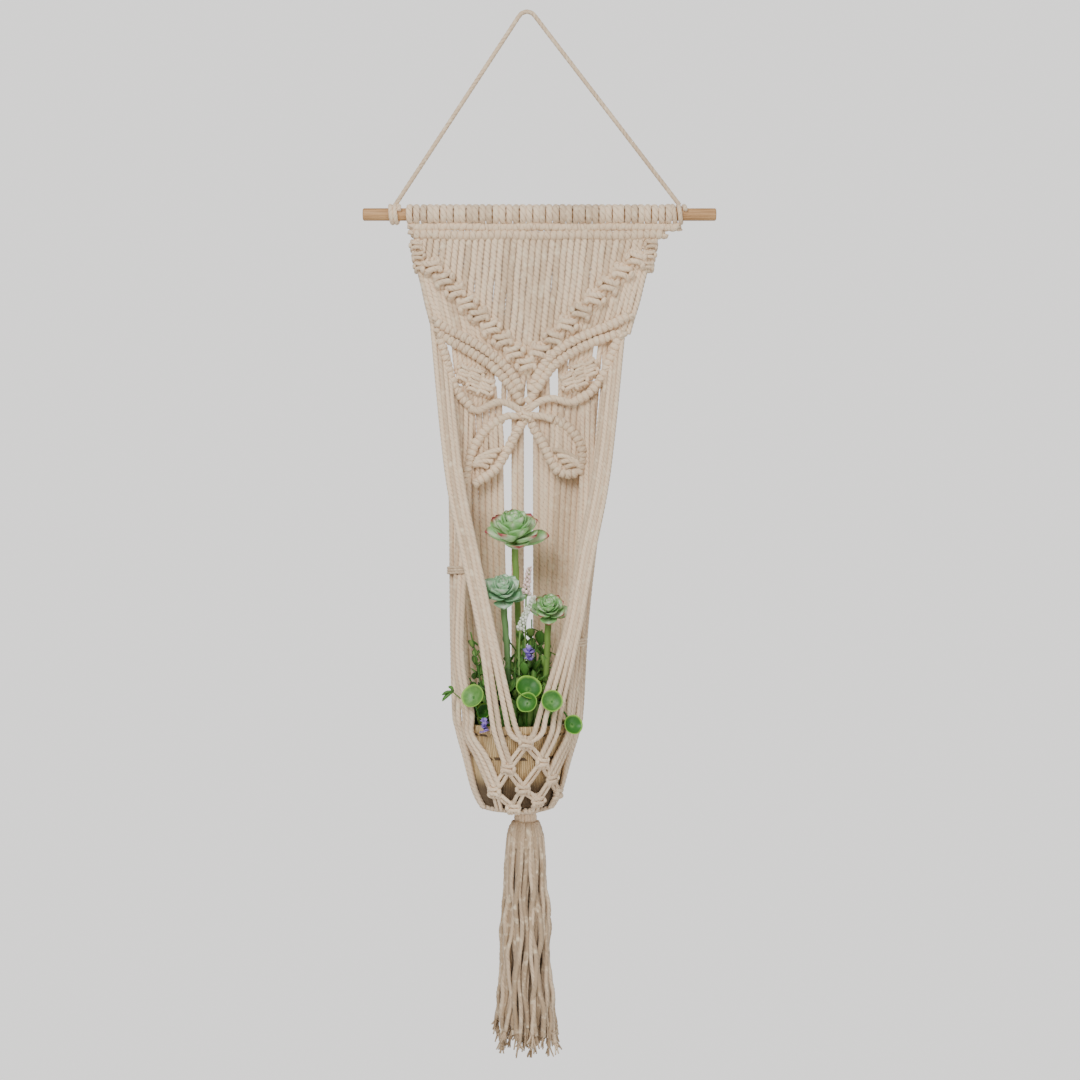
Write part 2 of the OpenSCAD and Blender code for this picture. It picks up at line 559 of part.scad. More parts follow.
hanging_cord();
hanging_tie_left();
hanging_tie_right();
dowel();
mounting_knots();
header_row_upper();
header_row_lower();
upper_strands();
edge_knots_left();
edge_knots_right();
v_knots_left();
v_knots_right();
middle_strands();
wing_upper_left();
wing_upper_right();
wing_upper_left_fill();
wing_upper_right_fill();
wing_lower_left();
wing_lower_right();
wing_lower_left_fill();
wing_lower_right_fill();
body_knot();
back_strands();
front_cords_left();
front_cords_right();
side_cords_left();
side_cords_right();
binding_left();
binding_right();
net_knots();
net_cords();
cradle_gather();
gathering_knot();
tassel_head();
tassel_strands();
pot();
soil();
rosette_top();
rosette_left();
rosette_right();
cup_leaves();
foliage();
flower_spikes();
purple_flowers();
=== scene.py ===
import bpy
import numpy as np
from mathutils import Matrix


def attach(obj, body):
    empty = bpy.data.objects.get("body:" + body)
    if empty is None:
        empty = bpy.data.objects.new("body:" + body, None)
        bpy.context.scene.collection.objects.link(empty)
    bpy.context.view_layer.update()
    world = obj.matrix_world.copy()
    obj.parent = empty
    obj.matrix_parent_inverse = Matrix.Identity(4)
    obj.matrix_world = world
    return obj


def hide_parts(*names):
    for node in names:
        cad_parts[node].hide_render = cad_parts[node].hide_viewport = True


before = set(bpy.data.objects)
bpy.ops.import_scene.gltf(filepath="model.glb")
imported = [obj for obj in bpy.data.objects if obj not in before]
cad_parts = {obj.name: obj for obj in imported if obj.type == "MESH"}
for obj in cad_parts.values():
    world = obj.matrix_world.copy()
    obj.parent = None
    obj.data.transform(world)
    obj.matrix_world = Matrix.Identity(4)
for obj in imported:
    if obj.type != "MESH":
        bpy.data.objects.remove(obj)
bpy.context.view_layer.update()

# ---------------------------------------------------------------------------------------------
# Studio. The planter hangs in front of nothing, over a plain pale floor. The camera stands
# level with the middle of the planter, 1.8 m in front of the curtain.
# ---------------------------------------------------------------------------------------------
camera_at, lens_mm, sensor_mm = (0.013, -1.8, -0.526), 60, 36
floor_z, floor_side = -1.9, 5
camera = bpy.data.objects.new("camera", bpy.data.cameras.new("camera"))
camera.data.lens, camera.data.sensor_width = lens_mm, sensor_mm
camera.location = camera_at
camera.rotation_euler = (np.pi / 2, 0, 0)
bpy.context.scene.collection.objects.link(camera)
bpy.context.scene.camera = camera


def lamp(name, at, aim, power, size):
    """A square area light of so many watts at a point, its face turned towards another point."""
    light = bpy.data.lights.new(name, "AREA")
    light.energy, light.size = power, size
    thing = bpy.data.objects.new(name, light)
    away = np.subtract(at, aim)
    thing.location = at
    thing.rotation_euler = (np.arccos(away[2] / np.linalg.norm(away)), 0,
                            np.arctan2(away[0], -away[1]))
    bpy.context.scene.collection.objects.link(thing)


lamp("key", (-0.75, -2.0, 0.9), (0, 0, -0.5), 56, 1.3)
lamp("fill", (1.6, -1.9, -0.6), (0, 0, -0.6), 16, 1.2)
lamp("back", (0.6, 1.9, 0.6), (0, 0, -0.5), 22, 1.2)


def linear(red, green, blue):
    """A colour given as 0 to 255 on screen, as the linear values that a shader takes."""
    screen = np.array([red, green, blue]) / 255
    low, high = screen / 12.92, ((screen + 0.055) / 1.055) ** 2.4
    return (*np.where(screen > 0.04045, high, low), 1.0)


class Socket:
    """One output in a material's node tree. Arithmetic on it adds a Math node for that sum, and
    node() adds any other node: its type, its settings, its inputs, and which output is wanted."""

    def __init__(self, tree, out=None):
        self.tree, self.out = tree, out

    def node(self, kind, settings=None, inputs=None, output=0):
        made = self.tree.nodes.new("ShaderNode" + kind)
        for key, value in (settings or {}).items():
            setattr(made, key, value)
        for key, value in (inputs or {}).items():
            if isinstance(value, Socket):
                self.tree.links.new(value.out, made.inputs[key])
            else:
                made.inputs[key].default_value = value
        return Socket(self.tree, made.outputs[output]) if made.outputs else None

    def math(self, operation, *values):
        return self.node("Math", {"operation": operation}, dict(enumerate(values)))

    def __add__(self, other):
        return self.math("ADD", self, other)

    def __sub__(self, other):
        return self.math("SUBTRACT", self, other)

    def __rsub__(self, other):
        return self.math("SUBTRACT", other, self)

    def __mul__(self, other):
        return self.math("MULTIPLY", self, other)

    def __abs__(self):
        return self.math("ABSOLUTE", self)

    __radd__, __rmul__ = __add__, __mul__

    def mix(self, low, high):
        """The colour low where this is 0, high where it is 1."""
        return self.node("Mix", {"data_type": "RGBA"}, {0: self, 6: low, 7: high}, 2)

    def ramp(self, low, high):
        """0 below low, 1 above high, and a smooth step between them."""
        return self.node("MapRange", {"interpolation_type": "SMOOTHSTEP"},
                         {0: self, 1: low, 2: high})

    def noise(self, scale, detail=2.0, roughness=0.5):
        """Noise over this vector, with so many grains to the unit of length."""
        return self.node("TexNoise", {}, {"Vector": self, "Scale": scale, "Detail": detail,
                                          "Roughness": roughness})

    def stretched(self, x, y, z):
        """This vector, each axis times its own number."""
        return self.node("VectorMath", {"operation": "MULTIPLY"}, {0: self, 1: (x, y, z)})

    def channel(self, axis):
        """One number of this vector: 0 for x, 1 for y, 2 for z."""
        return self.node("SeparateXYZ", {}, {0: self}, axis)

    def here(self):
        """The place on the object, in metres."""
        return self.node("TexCoord", {}, {}, "Object")

    def along(self):
        """The piece's own UV map: round a cord, and along it in metres."""
        return self.node("UVMap", {"uv_map": "UVMap"})

    def held(self, name):
        """A number that the mesh holds at each of its points."""
        return self.node("Attribute", {"attribute_name": name}, {}, "Fac")


def material(name):
    """A new material, as the socket that its other nodes are made from."""
    made = bpy.data.materials.new(name)
    made.use_nodes = True
    made.node_tree.nodes.clear()
    return made, Socket(made.node_tree)


def surface(start, colour, roughness, height=None, depth=0.0005, strength=0.5, **fixed):
    """Ends a material: colour and roughness, a bump of so many metres, and sockets that are the
    same all over, whose names have an underscore for a space."""
    inputs = {"Base Color": colour, "Roughness": roughness}
    if height is not None:
        inputs["Normal"] = start.node("Bump", {}, {"Height": height, "Distance": depth,
                                                   "Strength": strength})
    inputs.update({key.replace("_", " "): value for key, value in fixed.items()})
    shader = start.node("BsdfPrincipled", {}, inputs)
    start.node("OutputMaterial", {}, {"Surface": shader})


floor_look, start = material("pale_floor")
surface(start, start.here().noise(3).mix(linear(244, 243, 241), linear(250, 249, 247)), 0.85)
bpy.ops.mesh.primitive_plane_add(size=floor_side, location=(0, 0, floor_z))
floor = bpy.context.object
floor.name = "floor"
floor.data.materials.append(floor_look)

# The air round it lights the object with 0.45, and is seen at 1.4, so that it looks near white.
world = bpy.data.worlds.new("studio")
bpy.context.scene.world = world
world.use_nodes = True
air = world.node_tree.nodes["Background"]
air.inputs["Color"].default_value = (1.0, 0.985, 0.97, 1)
seen = Socket(world.node_tree).node("LightPath", {}, {}, "Is Camera Ray")
world.node_tree.links.new((seen * 0.95 + 0.45).out, air.inputs["Strength"])

# ---------------------------------------------------------------------------------------------
# Hanging cord. A 4.6 mm cotton cord of three strands, one piece from end to end of the dowel,
# which hangs by its middle from a hook. Two straight legs and a small round bend at the top.
# ---------------------------------------------------------------------------------------------
hanger_d, hanger_lay = 0.0046, 0.016


def mm(points):
    """Points given in millimetres, in metres."""
    return np.array(points, float) * 0.001


def curve(points, cuts):
    """Catmull-Rom: each span is a cubic through its two ends, whose slope at a point is half the
    way from the point before to the point after. The first and last points count twice."""
    p = np.asarray(points, float)
    p = np.concatenate([p[:1], p, p[-1:]])
    a, b, c, d = (p[i:len(p) - 3 + i, None] for i in range(4))
    t = (np.arange(cuts) / cuts)[None, :, None]
    spans = 0.5 * (2 * b + (c - a) * t + (2 * a - 5 * b + 4 * c - d) * t ** 2
                   + (3 * b - a - 3 * c + d) * t ** 3)
    return np.concatenate([spans.reshape(-1, p.shape[1]), p[-1:]])


def walked(path):
    """How far along the way each of its points is."""
    return np.concatenate([[0], np.cumsum(np.linalg.norm(np.diff(path, axis=0), axis=1))])


def even(path, step):
    """The same way walked in even steps of about the given length."""
    run = walked(path)
    at = np.linspace(0, run[-1], max(int(round(run[-1] / step)), 2) + 1)
    return np.stack([np.interp(at, run, path[:, k]) for k in range(3)], 1)


def unit(vectors):
    """The vectors, each made one long."""
    return vectors / np.maximum(np.linalg.norm(vectors, axis=-1, keepdims=True), 1e-12)


def carried(path):
    """Two vectors square to the way and to each other at each point. They start from a fixed
    direction, and the turn that this gives from point to point is summed and taken back, so that
    they are carried along without a twist."""
    way = unit(np.gradient(path, axis=0))
    fixed = np.eye(3)[np.argmin(np.abs(way).max(0))]
    side = unit(np.cross(way, fixed))
    up = np.cross(way, side)
    before = unit(side[:-1] - np.sum(side[:-1] * way[1:], 1, keepdims=True) * way[1:])
    turn = np.arctan2(np.sum(before * up[1:], 1), np.sum(before * side[1:], 1))
    angle = np.concatenate([[0], np.cumsum(turn)])[:, None]
    return side * np.cos(angle) + up * np.sin(angle), up * np.cos(angle) - side * np.sin(angle)


def tube(path, radius, sides, lay=0.0, phase=0.0, lobes=3, flat=1.0, press=None, tone=0.5,
         painted_side_shade=0.0):
    """A cord along a path: rings of points about it, at radius * (0.84 + 0.16 * crest), where
    crest is |cos(lobes/2 * angle)| ** 0.8 and the angle turns once for each lay of length. radius
    may be one for each ring. flat squeezes the ring along the vector press. A painted shade darkens
    the two sides square to it, where the next cord lies against it, by the share given last.
    Returns points, faces, UV (round the cord, and along it in metres), the crest at each point, and
    the cord's tone."""
    n = len(path)
    side, up = carried(path)
    if press is not None:
        way = unit(np.gradient(path, axis=0))
        up = unit(press - np.sum(press * way, 1, keepdims=True) * way)
        side = np.cross(way, up)
    run = walked(path)
    angle = np.arange(sides)[None] * 2 * np.pi / sides
    turned = angle - run[:, None] * (2 * np.pi / lay if lay else 0) + phase
    crest = np.abs(np.cos(turned * lobes / 2)) ** 0.8
    out = np.broadcast_to(np.asarray(radius, float), (n,))[:, None] * (0.84 + 0.16 * crest)
    # Painted shade: the crest is lowered on the two sides where the next cord lies, which darkens
    # them.
    crest = crest * (1 - painted_side_shade * np.abs(np.cos(angle)) ** 3)
    rings = (path[:, None] + side[:, None] * (out * np.cos(angle))[..., None]
             + up[:, None] * (out * np.sin(angle) * flat)[..., None])
    i, s = np.meshgrid(np.arange(n - 1), np.arange(sides), indexing="ij")
    a, b = i * sides + s, i * sides + (s + 1) % sides
    quads = np.stack([a, b, b + sides, a + sides], -1).reshape(-1, 4)
    ends = np.array([(n * sides + e, 0, 0, 0) for e in (0, 1)])
    first, last = np.arange(sides), (n - 1) * sides + np.arange(sides)
    caps = np.concatenate([np.stack([np.roll(first, -1), first, first * 0 + ends[0, 0]], 1),
                           np.stack([last, np.roll(last, -1), last * 0 + ends[1, 0]], 1)])
    u, v = np.stack([s, s + 1, s + 1, s], -1) / sides, run[np.stack([i, i, i + 1, i + 1], -1)]
    cap_uv = np.stack([np.tile([0.5, 0.5, 0.5], (2 * sides, 1)),
                       np.repeat([[0.0] * 3, [run[-1]] * 3], sides, 0)], -1)
    return {"points": np.concatenate([rings.reshape(-1, 3), path[[0, -1]]]), "quads": quads,
            "tris": caps, "quad_uv": np.stack([u, v], -1).reshape(-1, 4, 2), "tri_uv": cap_uv,
            "crest": np.concatenate([crest.reshape(-1), [0.5, 0.5]]),
            "tone": np.full(n * sides + 2, tone)}


def piece(name, parts, look, body):
    """Joins parts to one smooth mesh piece, which takes the look, rides on the body and stands
    for the CAD node of its name."""
    sizes = [len(part["points"]) for part in parts]
    starts = np.concatenate([[0], np.cumsum(sizes)])[:-1]
    quads = np.concatenate([part["quads"] + k for part, k in zip(parts, starts)])
    tris = np.concatenate([part["tris"] + k for part, k in zip(parts, starts)])
    mesh = bpy.data.meshes.new(name)
    mesh.vertices.add(sum(sizes))
    mesh.vertices.foreach_set("co", np.concatenate([p["points"] for p in parts]).ravel())
    mesh.loops.add(quads.size + tris.size)
    mesh.loops.foreach_set("vertex_index", np.concatenate([quads.ravel(), tris.ravel()]))
    mesh.polygons.add(len(quads) + len(tris))
    mesh.polygons.foreach_set("loop_start", np.concatenate(
        [np.arange(len(quads)) * 4, quads.size + np.arange(len(tris)) * 3]))
    mesh.update(calc_edges=True)
    mesh.uv_layers.new(name="UVMap").data.foreach_set("uv", np.concatenate(
        [np.concatenate([p["quad_uv"] for p in parts]).ravel(),
         np.concatenate([p["tri_uv"] for p in parts]).ravel()]))
    for key in ("crest", "tone"):
        mesh.attributes.new(key, "FLOAT", "POINT").data.foreach_set(
            "value", np.concatenate([p[key] for p in parts]))
    mesh.polygons.foreach_set("use_smooth", np.ones(len(mesh.polygons), bool))
    mesh.validate()
    mesh.materials.append(look)
    made = bpy.data.objects.new(name, mesh)
    bpy.context.scene.collection.objects.link(made)
    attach(made, body)
    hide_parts(name)
    return made


def spun(path, diameter, rng, step=0.0014, sides=12, lay=0.014, tone=None, last=None,
         painted_side_shade=0.0):
    """A cord of three twisted strands along a path, begun at a random turn. Its thickness goes
    evenly from diameter to last, where that is given."""
    way = even(path, step)
    wide = np.linspace(diameter, last or diameter, len(way))
    return tube(way, wide / 2 * 1.04, sides, lay, rng.uniform(0, 6.28), painted_side_shade=painted_side_shade,
                press=np.array([0, -1.0, 0]) if painted_side_shade else None,
                tone=rng.uniform(0.45, 1) if tone is None else tone)


cotton, start = material("cotton_cord")
here, crest, tone = start.here(), start.held("crest"), start.held("tone")
fibres = start.along().stretched(26, 900, 1).noise(1.0, 3.0, 0.6)
slubs = here.noise(160, 2.0)
patches = here.noise(9, 2.0)
lit = (tone * 0.8 + patches * 0.4).ramp(0.1, 1.0).mix(linear(170, 144, 112), linear(241, 215, 183))
# Painted shade: the colour goes to a darker brown where the crest is low, in the grooves of the
# twist and on the sides where cords touch.
groove_shaded = (crest * 0.75 + fibres * 0.5).ramp(0.05, 0.75).mix(linear(154, 127, 96), lit)
surface(start, slubs.ramp(0.5, 0.8).mix(groove_shaded, linear(238, 220, 190)), 0.82 + fibres * 0.12,
        fibres * 0.7 + slubs * 0.5, 0.0004, 0.6, Sheen_Weight=0.25, Sheen_Roughness=0.5)


def of_cotton(name, parts, body="curtain"):
    """A piece of cotton cord."""
    return piece(name, parts, cotton, body)


hanger_way = even(curve(mm([[-132, 0, -191.4], [-111, 0, -159.4], [-91, 0, -128.9],
    [-71, 0, -98.4], [-51, 0, -67.9], [-31, 0, -37.4], [-16, 0, -14.5], [-8, 0, -2.3],
    [-4.6, 0, 1], [0, 0, 2.3], [4.6, 0, 1], [7.6, 0, -1.7], [17, 0, -14], [37, 0, -40.1],
    [62, 0, -72.8], [84, 0, -101.5], [106, 0, -130.2], [129, 0, -160.3], [152.5, 0, -191]]), 8),
    0.0013)
hanging_cord = of_cotton("hanging_cord", [tube(hanger_way, hanger_d / 2, 12, hanger_lay)], "root")

# ---------------------------------------------------------------------------------------------
# Ties and dowel. The hanging cord is wound twice round a bare end of the dowel on each side. The
# dowel is a 12.5 mm turned rod of pale pine, unvarnished, with fine darker grain along it.
# ---------------------------------------------------------------------------------------------
dowel_z, dowel_r = -0.2005, 0.00625
tie_turns, tie_r = 2.2, dowel_r + 0.0021
draw = np.random.default_rng(7)


def wound(x, pitch):
    """A tie round the dowel: a helix along X that starts at the top and goes towards the viewer."""
    t = np.linspace(0, 1, int(tie_turns * 40))
    angle = t * tie_turns * 2 * np.pi
    return np.stack([x + (t - 0.5) * tie_turns * pitch, -tie_r * np.sin(angle),
                     dowel_z + tie_r * np.cos(angle)], 1)


for name, x, pitch in (("hanging_tie_left", -0.132, 0.0042), ("hanging_tie_right", 0.1515, 0.0058)):
    of_cotton(name, [spun(wound(x, pitch), hanger_d, draw)], "root")


def finished(node, look):
    """Gives a solid of the CAD, which is shown as it is, its finish."""
    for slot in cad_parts[node].material_slots:
        slot.material = look


pine, start = material("pine")
here = start.here()
grain = here.stretched(5, 130, 130).noise(6, 4, 0.6)
rings = here.stretched(1.2, 60, 60).noise(5, 2)
surface(start, (grain * 0.7 + rings * 0.4).ramp(0.35, 0.75).mix(
    linear(212, 168, 116), linear(154, 110, 66)), 0.5 + grain * 0.2, grain, 0.0003, 0.4)
finished("dowel", pine)

# ---------------------------------------------------------------------------------------------
# Knots on the dowel. Twenty long cords are folded in half over the dowel side by side, each with
# a lark's head: two flattened turns show in front, the bar lies behind with both legs under it.
# ---------------------------------------------------------------------------------------------
mount_count, mount_pitch, mount_left = 20, 0.0132, -0.12
front_half, leg_d, bar_d = 0.0034, 0.0063, 0.0042
upper_row_z, lower_row_z, row_left, row_y = -0.2134, -0.2212, -0.116, -0.0015


def over_dowel(x, lean, rng):
    """One turn: up from the header in front of the dowel, round its top and down behind. It is an
    arc about the dowel, whose angle is 0 below the dowel, a half in front and 1 over it, times
    pi, and which leans aside by the angle's sine."""
    angle = np.linspace(-0.15, 1.46, 38) * np.pi
    r = dowel_r + 0.0019 + rng.uniform(-1, 1) * 0.0001
    turn = np.stack([x + lean * np.sin(angle) * 0.0006, -r * np.sin(angle),
                     dowel_z - r * np.cos(angle)], 1)
    foot = np.array([[x, 0.0, upper_row_z - 0.001], [x, -0.0022, dowel_z - 0.0086]])
    return np.concatenate([foot, turn])


knots = []
for k in range(mount_count):
    middle = mount_left + (k + 0.5) * mount_pitch + draw.uniform(-1, 1) * 0.0006
    for side in (-1, 1):
        way = even(curve(over_dowel(middle + side * mount_pitch * 0.235, side, draw), 2), 0.0012)
        outward = unit((way - [0, 0, dowel_z]) * [0, 1, 1])
        high = np.clip((way[:, 2] - dowel_z) / dowel_r, -1, 1)
        wide = (front_half + 0.0001 * high) * draw.uniform(0.97, 1.03)
        knots.append(tube(way, wide, 14, 0.02, draw.uniform(0, 6.28), flat=0.66, press=outward,
                          tone=draw.uniform(0.45, 1)))
        leg = [[0.0078, dowel_z - 0.0005], [0.0082, dowel_z - 0.004], [0.0048, dowel_z - 0.009],
               [0.001, upper_row_z]]
        knots.append(spun(curve([[way[-1, 0], y, z] for y, z in leg], 4), leg_d, draw))
    bar = [[-0.0062, 0.0075, 0.002], [-0.0045, 0.0105, 0], [0, 0.0112, -0.0008],
           [0.0045, 0.0105, 0], [0.0062, 0.0075, 0.002]]
    knots.append(spun(curve([[middle + x, y, dowel_z + z] for x, y, z in bar], 4), bar_d, draw))
of_cotton("mounting_knots", knots)

# ---------------------------------------------------------------------------------------------
# Header. Every strand is hitched twice round a cord laid across the panel: a thin first row
# that reads as a braid, and a thicker second row like a string of beads.
# ---------------------------------------------------------------------------------------------


def hitched(way, pitch, reach, wide, thick, rng, lean):
    """Hitches round a leader cord: a flattened cord wound about the way as a helix, one turn for
    each pitch, at about reach from it, and the leader inside. lean shifts the front of each turn
    along the way, so that the turns lie square to it. The way is walked in 14 steps a turn."""
    turns = np.linalg.norm(np.diff(way, axis=0), axis=1).sum() / pitch
    way = even(way, pitch / 14)
    along = unit(np.gradient(way, axis=0))
    front = unit(np.array([0, -1.0, 0]) - along * (along @ [0, -1.0, 0])[:, None])
    over = np.cross(front, along)
    angle = np.linspace(0, turns * 2 * np.pi, len(way))
    wobble = 1 + 0.07 * np.sin(angle * 0.37 + rng.uniform(0, 6)) + 0.05 * np.cos(angle * 0.5)
    outward = front * np.cos(angle)[:, None] + over * np.sin(angle)[:, None]
    spiral = way + outward * (reach * wobble)[:, None] + along * (lean * np.sin(angle))[:, None]
    return [tube(spiral, wide / 2, 10, 0.013, rng.uniform(0, 6), flat=thick / wide, press=outward,
                 tone=rng.uniform(0.55, 0.9)),
            tube(even(way, 0.003), reach, 8, tone=0.3)]


def sagging(length, z, dip, rng):
    """A row across the panel: level, less dip * sin(pi * t), and a slow wave of half a mm."""
    t = np.linspace(0, 1, 24)
    wave = np.sin(t * 21 + rng.uniform(0, 6)) * 0.0005
    return np.stack([row_left + t * length, np.full(24, row_y), z - dip * np.sin(t * np.pi)
                     + wave], 1)


for name, row, pitch, reach, wide, thick, lean in (
        ("header_row_upper", (0.269, upper_row_z, 0.0002), 0.0066, 0.0026, 0.0070, 0.0036, 0.0006),
        ("header_row_lower", (0.254, lower_row_z + 0.0002, 0.0005), 0.0062, 0.0033, 0.0068, 0.0040,
         -0.0008)):
    of_cotton(name, hitched(sagging(*row, draw), pitch, reach, wide, thick, draw, lean))

# ---------------------------------------------------------------------------------------------
# Panel. Thirty-eight strands hang from the header, a V of square knots gathers them, and they run
# on, drawn together, to the leaves. Both edges have a few square knots under the header.
# ---------------------------------------------------------------------------------------------
strand_count, strand_pitch, half = 38, 0.0064, 19
panel_d, drawn_d, leaf_d = 0.0069, 0.0066, 0.0054
v_left_end, v_right_end, v_point = np.array([[-95, -254], [109, -246], [-1, -351]]) * 0.001


def halves(left, right):
    """Nineteen even steps across each half: from left[0] to left[1], then right[0] to right[1]."""
    return np.concatenate([np.linspace(*left, half), np.linspace(*right, half)])


header_x = 0.0095 + (np.arange(strand_count) - (strand_count - 1) / 2) * strand_pitch
v_x = halves((-0.111, v_point[0] - 0.0025), (v_point[0] + 0.0025, 0.124))
v_z = np.where(v_x < v_point[0],
               v_left_end[1] + (v_x - v_left_end[0]) / (v_point[0] - v_left_end[0])
               * (v_point[1] - v_left_end[1]),
               v_point[1] + (v_x - v_point[0]) / (v_right_end[0] - v_point[0])
               * (v_right_end[1] - v_point[1]))
leaf_x = halves((-0.092, -0.0055), (0.0035, 0.101))

# The rows of hitches that outline the leaves, from the edge of the panel inwards, and the plain
# cords that carry two of a leaf's rows on to the knot, as [x, z] in mm.
leaf_rows = {
    "wing_upper_left": [
        [[-93, -307], [-79, -315.5], [-57, -327], [-37, -339.5], [-17, -358], [-6, -377]],
        [[-91, -319], [-78, -326.5], [-54, -340], [-32.5, -355], [-16.5, -373], [-4.5, -390]],
        [[-88, -323], [-81.5, -342], [-76, -363], [-67.5, -381], [-54, -395]]],
    "wing_upper_right": [
        [[103, -301], [86, -310.5], [67, -318], [40.5, -330.5], [19, -348], [3.5, -376]],
        [[97, -319], [71, -327], [46, -338.5], [25, -354], [10, -375], [0.5, -390]],
        [[92, -323], [82.5, -346], [75.5, -362.5], [64, -378], [47, -388.5]]],
    "wing_lower_left": [
        [[-26, -405.5], [-39.5, -414.5], [-51, -431], [-57, -447], [-61.5, -470]],
        [[-3, -407], [-10, -418], [-18.5, -434.5], [-31, -455.5], [-52, -470.5]]],
    "wing_lower_right": [
        [[24, -405.5], [40, -413], [52, -428], [55.5, -443], [51.5, -460]],
        [[3, -407], [8.5, -417.5], [17, -433], [28, -454], [38, -460.5], [49.5, -459.5]]]}
plain_cords = {
    "wing_upper_left": [[-57, -394], [-49, -397.5], [-39, -392.5], [-29, -388.5], [-18, -390.5],
                        [-5, -398], [2, -401]],
    "wing_upper_right": [[49, -388.5], [39, -388.5], [26, -385], [14, -387.5], [4, -394],
                         [-3, -400]],
    "wing_lower_left": [[2, -398], [-9, -402.5], [-19, -402.5], [-28, -406.5]],
    "wing_lower_right": [[-5, -399], [6, -402], [16, -403], [26, -406.5]]}


def in_plane(row, y=row_y):
    """A row given as [x, z] in mm, as a smooth way in the panel's plane, which leans forwards
    below the knot where the leaves meet."""
    x, z = np.array(row, float).T * 0.001
    return curve(np.stack([x, y - np.maximum(-0.402 - z, 0) * 0.17, z], 1), 8)


second_left, second_right = (in_plane(leaf_rows[name][1])
                             for name in ("wing_upper_left", "wing_upper_right"))


def loose(start, end, rng, amount=0.0003):
    """A hanging strand: a straight line, drifting aside by two slow sines that die at its ends."""
    start, end = np.array(start, float), np.array(end, float)
    length = np.linalg.norm(end - start)
    t = np.linspace(0, 1, max(int(length / 0.004), 4))[:, None]
    sway = (np.sin(t * length * 55 + rng.uniform(0, 6, (1, 3)))
            + np.sin(t * length * 130 + rng.uniform(0, 6, (1, 3)))) * np.sin(t * np.pi) * amount
    return start + (end - start) * t + sway


header_low = lower_row_z - 0.0043
of_cotton("upper_strands", [
    spun(loose((header_x[i], 0, header_low + 0.001),
               (v_x[i], 0, min(v_z[i] + 0.003, header_low - 0.008)), draw), panel_d, draw,
         painted_side_shade=1.0) for i in range(strand_count)])


def row_height(row, x):
    """Height of a row where it passes x, or of its nearer end."""
    from_left = np.argsort(row[:, 0])
    return np.interp(x, row[from_left, 0], row[from_left, 2])


# The four strands in the middle end behind the knot where the leaves meet.
middle_low = [row_height(second_left if i < half else second_right, leaf_x[i]) - 0.001
              if abs(i - half + 0.5) > 2 else -0.392 for i in range(strand_count)]
of_cotton("middle_strands", [
    spun(loose((v_x[i], 0, v_z[i] - 0.003), (leaf_x[i], 0, middle_low[i]), draw), drawn_d, draw,
         last=leaf_d, painted_side_shade=0.9) for i in range(strand_count)])

# The two working cords of a square knot, in cord diameters: X across it, Y to its back, Z up.
# One lies over the front twice; the other stands out at both sides and passes behind.
over_cord = np.array([[-1.2, .95, 1.5], [-1.3, .2, 1.2], [-1.05, -.75, .8], [0, -1.15, .52],
    [.95, -.8, .5], [1.45, -.25, .25], [1.5, -.1, -.1], [1.3, -.3, -.4], [.9, -.85, -.5],
    [0, -1.15, -.52], [-.95, -.8, -.65], [-1.3, .2, -1.15], [-1.2, .95, -1.5]])
under_cord = np.array([[1.2, .95, 1.5], [1.35, -.2, 1.15], [1.3, -.75, .7], [1.15, .1, .3],
    [0, .95, .3], [-1.1, .4, .35], [-1.6, -.4, .3], [-1.65, -.9, 0], [-1.6, -.4, -.3],
    [-1.1, .4, -.35], [0, .95, -.3], [1.15, .1, -.3], [1.35, -.75, -.75], [1.35, -.2, -1.15],
    [1.2, .95, -1.5]])
filler = np.array([[.5, .95, 1.5], [.5, 0, 1.1], [.5, 0, -1.1], [.5, .95, -1.5]])


def square_knot(at, rng, size, face=0.0, roll=0.0, mirrored=False, deep=1.0, tall=1.0):
    """A square knot: the two working cords and two fillers, rolled in the panel's plane, then
    turned about Z to face outwards, and set at a point. Both turns are in radians."""
    flip = -1 if mirrored else 1
    ways = [curve(over_cord, 5), curve(under_cord, 5), curve(filler, 5),
            curve(filler * [-1, 1, 1], 5)]
    cr, sr, cf, sf = np.cos(roll), np.sin(roll), np.cos(face), np.sin(face)
    turn = (np.array([[cf, -sf, 0], [sf, cf, 0], [0, 0, 1]])
            @ np.array([[cr, 0, sr], [0, 1, 0], [-sr, 0, cr]]))
    tone = rng.uniform(0.5, 1)
    return [tube(np.asarray(at) + (way * [flip, deep, tall] * size) @ turn.T, size / 2 * 1.08,
                 8, 0.012, rng.uniform(0, 6), tone=tone) for way in ways]


def knot_row(name, places, **options):
    """Square knots at the places, every other one tied the other way round."""
    of_cotton(name, [part for k, at in enumerate(places)
                     for part in square_knot(at, draw, mirrored=k % 2 == 1, **options)])


for name, x, inwards, z in (("edge_knots_left", -110.5, 2, -232),
                            ("edge_knots_right", 124, -1.8, -231)):
    knot_row(name, mm([[x + i * inwards, -1.5, z - i * 10.5] for i in range(3)]), size=0.0036)

for name, end, count, roll in (("v_knots_left", v_left_end, 9, -0.25),
                               ("v_knots_right", v_right_end, 8, 0.25)):
    way = end + (v_point - end) * (np.arange(count)[:, None] / 8)
    knot_row(name, np.stack([way[:, 0], np.full(count, -0.003), way[:, 1]], 1), roll=roll,
             size=0.0055)

# ---------------------------------------------------------------------------------------------
# Leaves. Four leaves in hitches meet at a knot. Each is outlined by rows of hitches on a bent
# leader; the upper two are filled with a mesh of square knots, the lower two with laid cords.
# ---------------------------------------------------------------------------------------------
plain_d, fill_d, laid_d = 0.0072, 0.0052, 0.0050
for name, rows in leaf_rows.items():
    parts = [part for k, row in enumerate(rows) for part in
             hitched(in_plane(row, -0.0065 if k == 2 else -0.005), 0.0058, 0.0031, 0.0064, 0.0040,
                     draw, -0.0009)]
    parts.append(spun(in_plane(plain_cords[name], -0.008), plain_d, draw))
    of_cotton(name, parts)


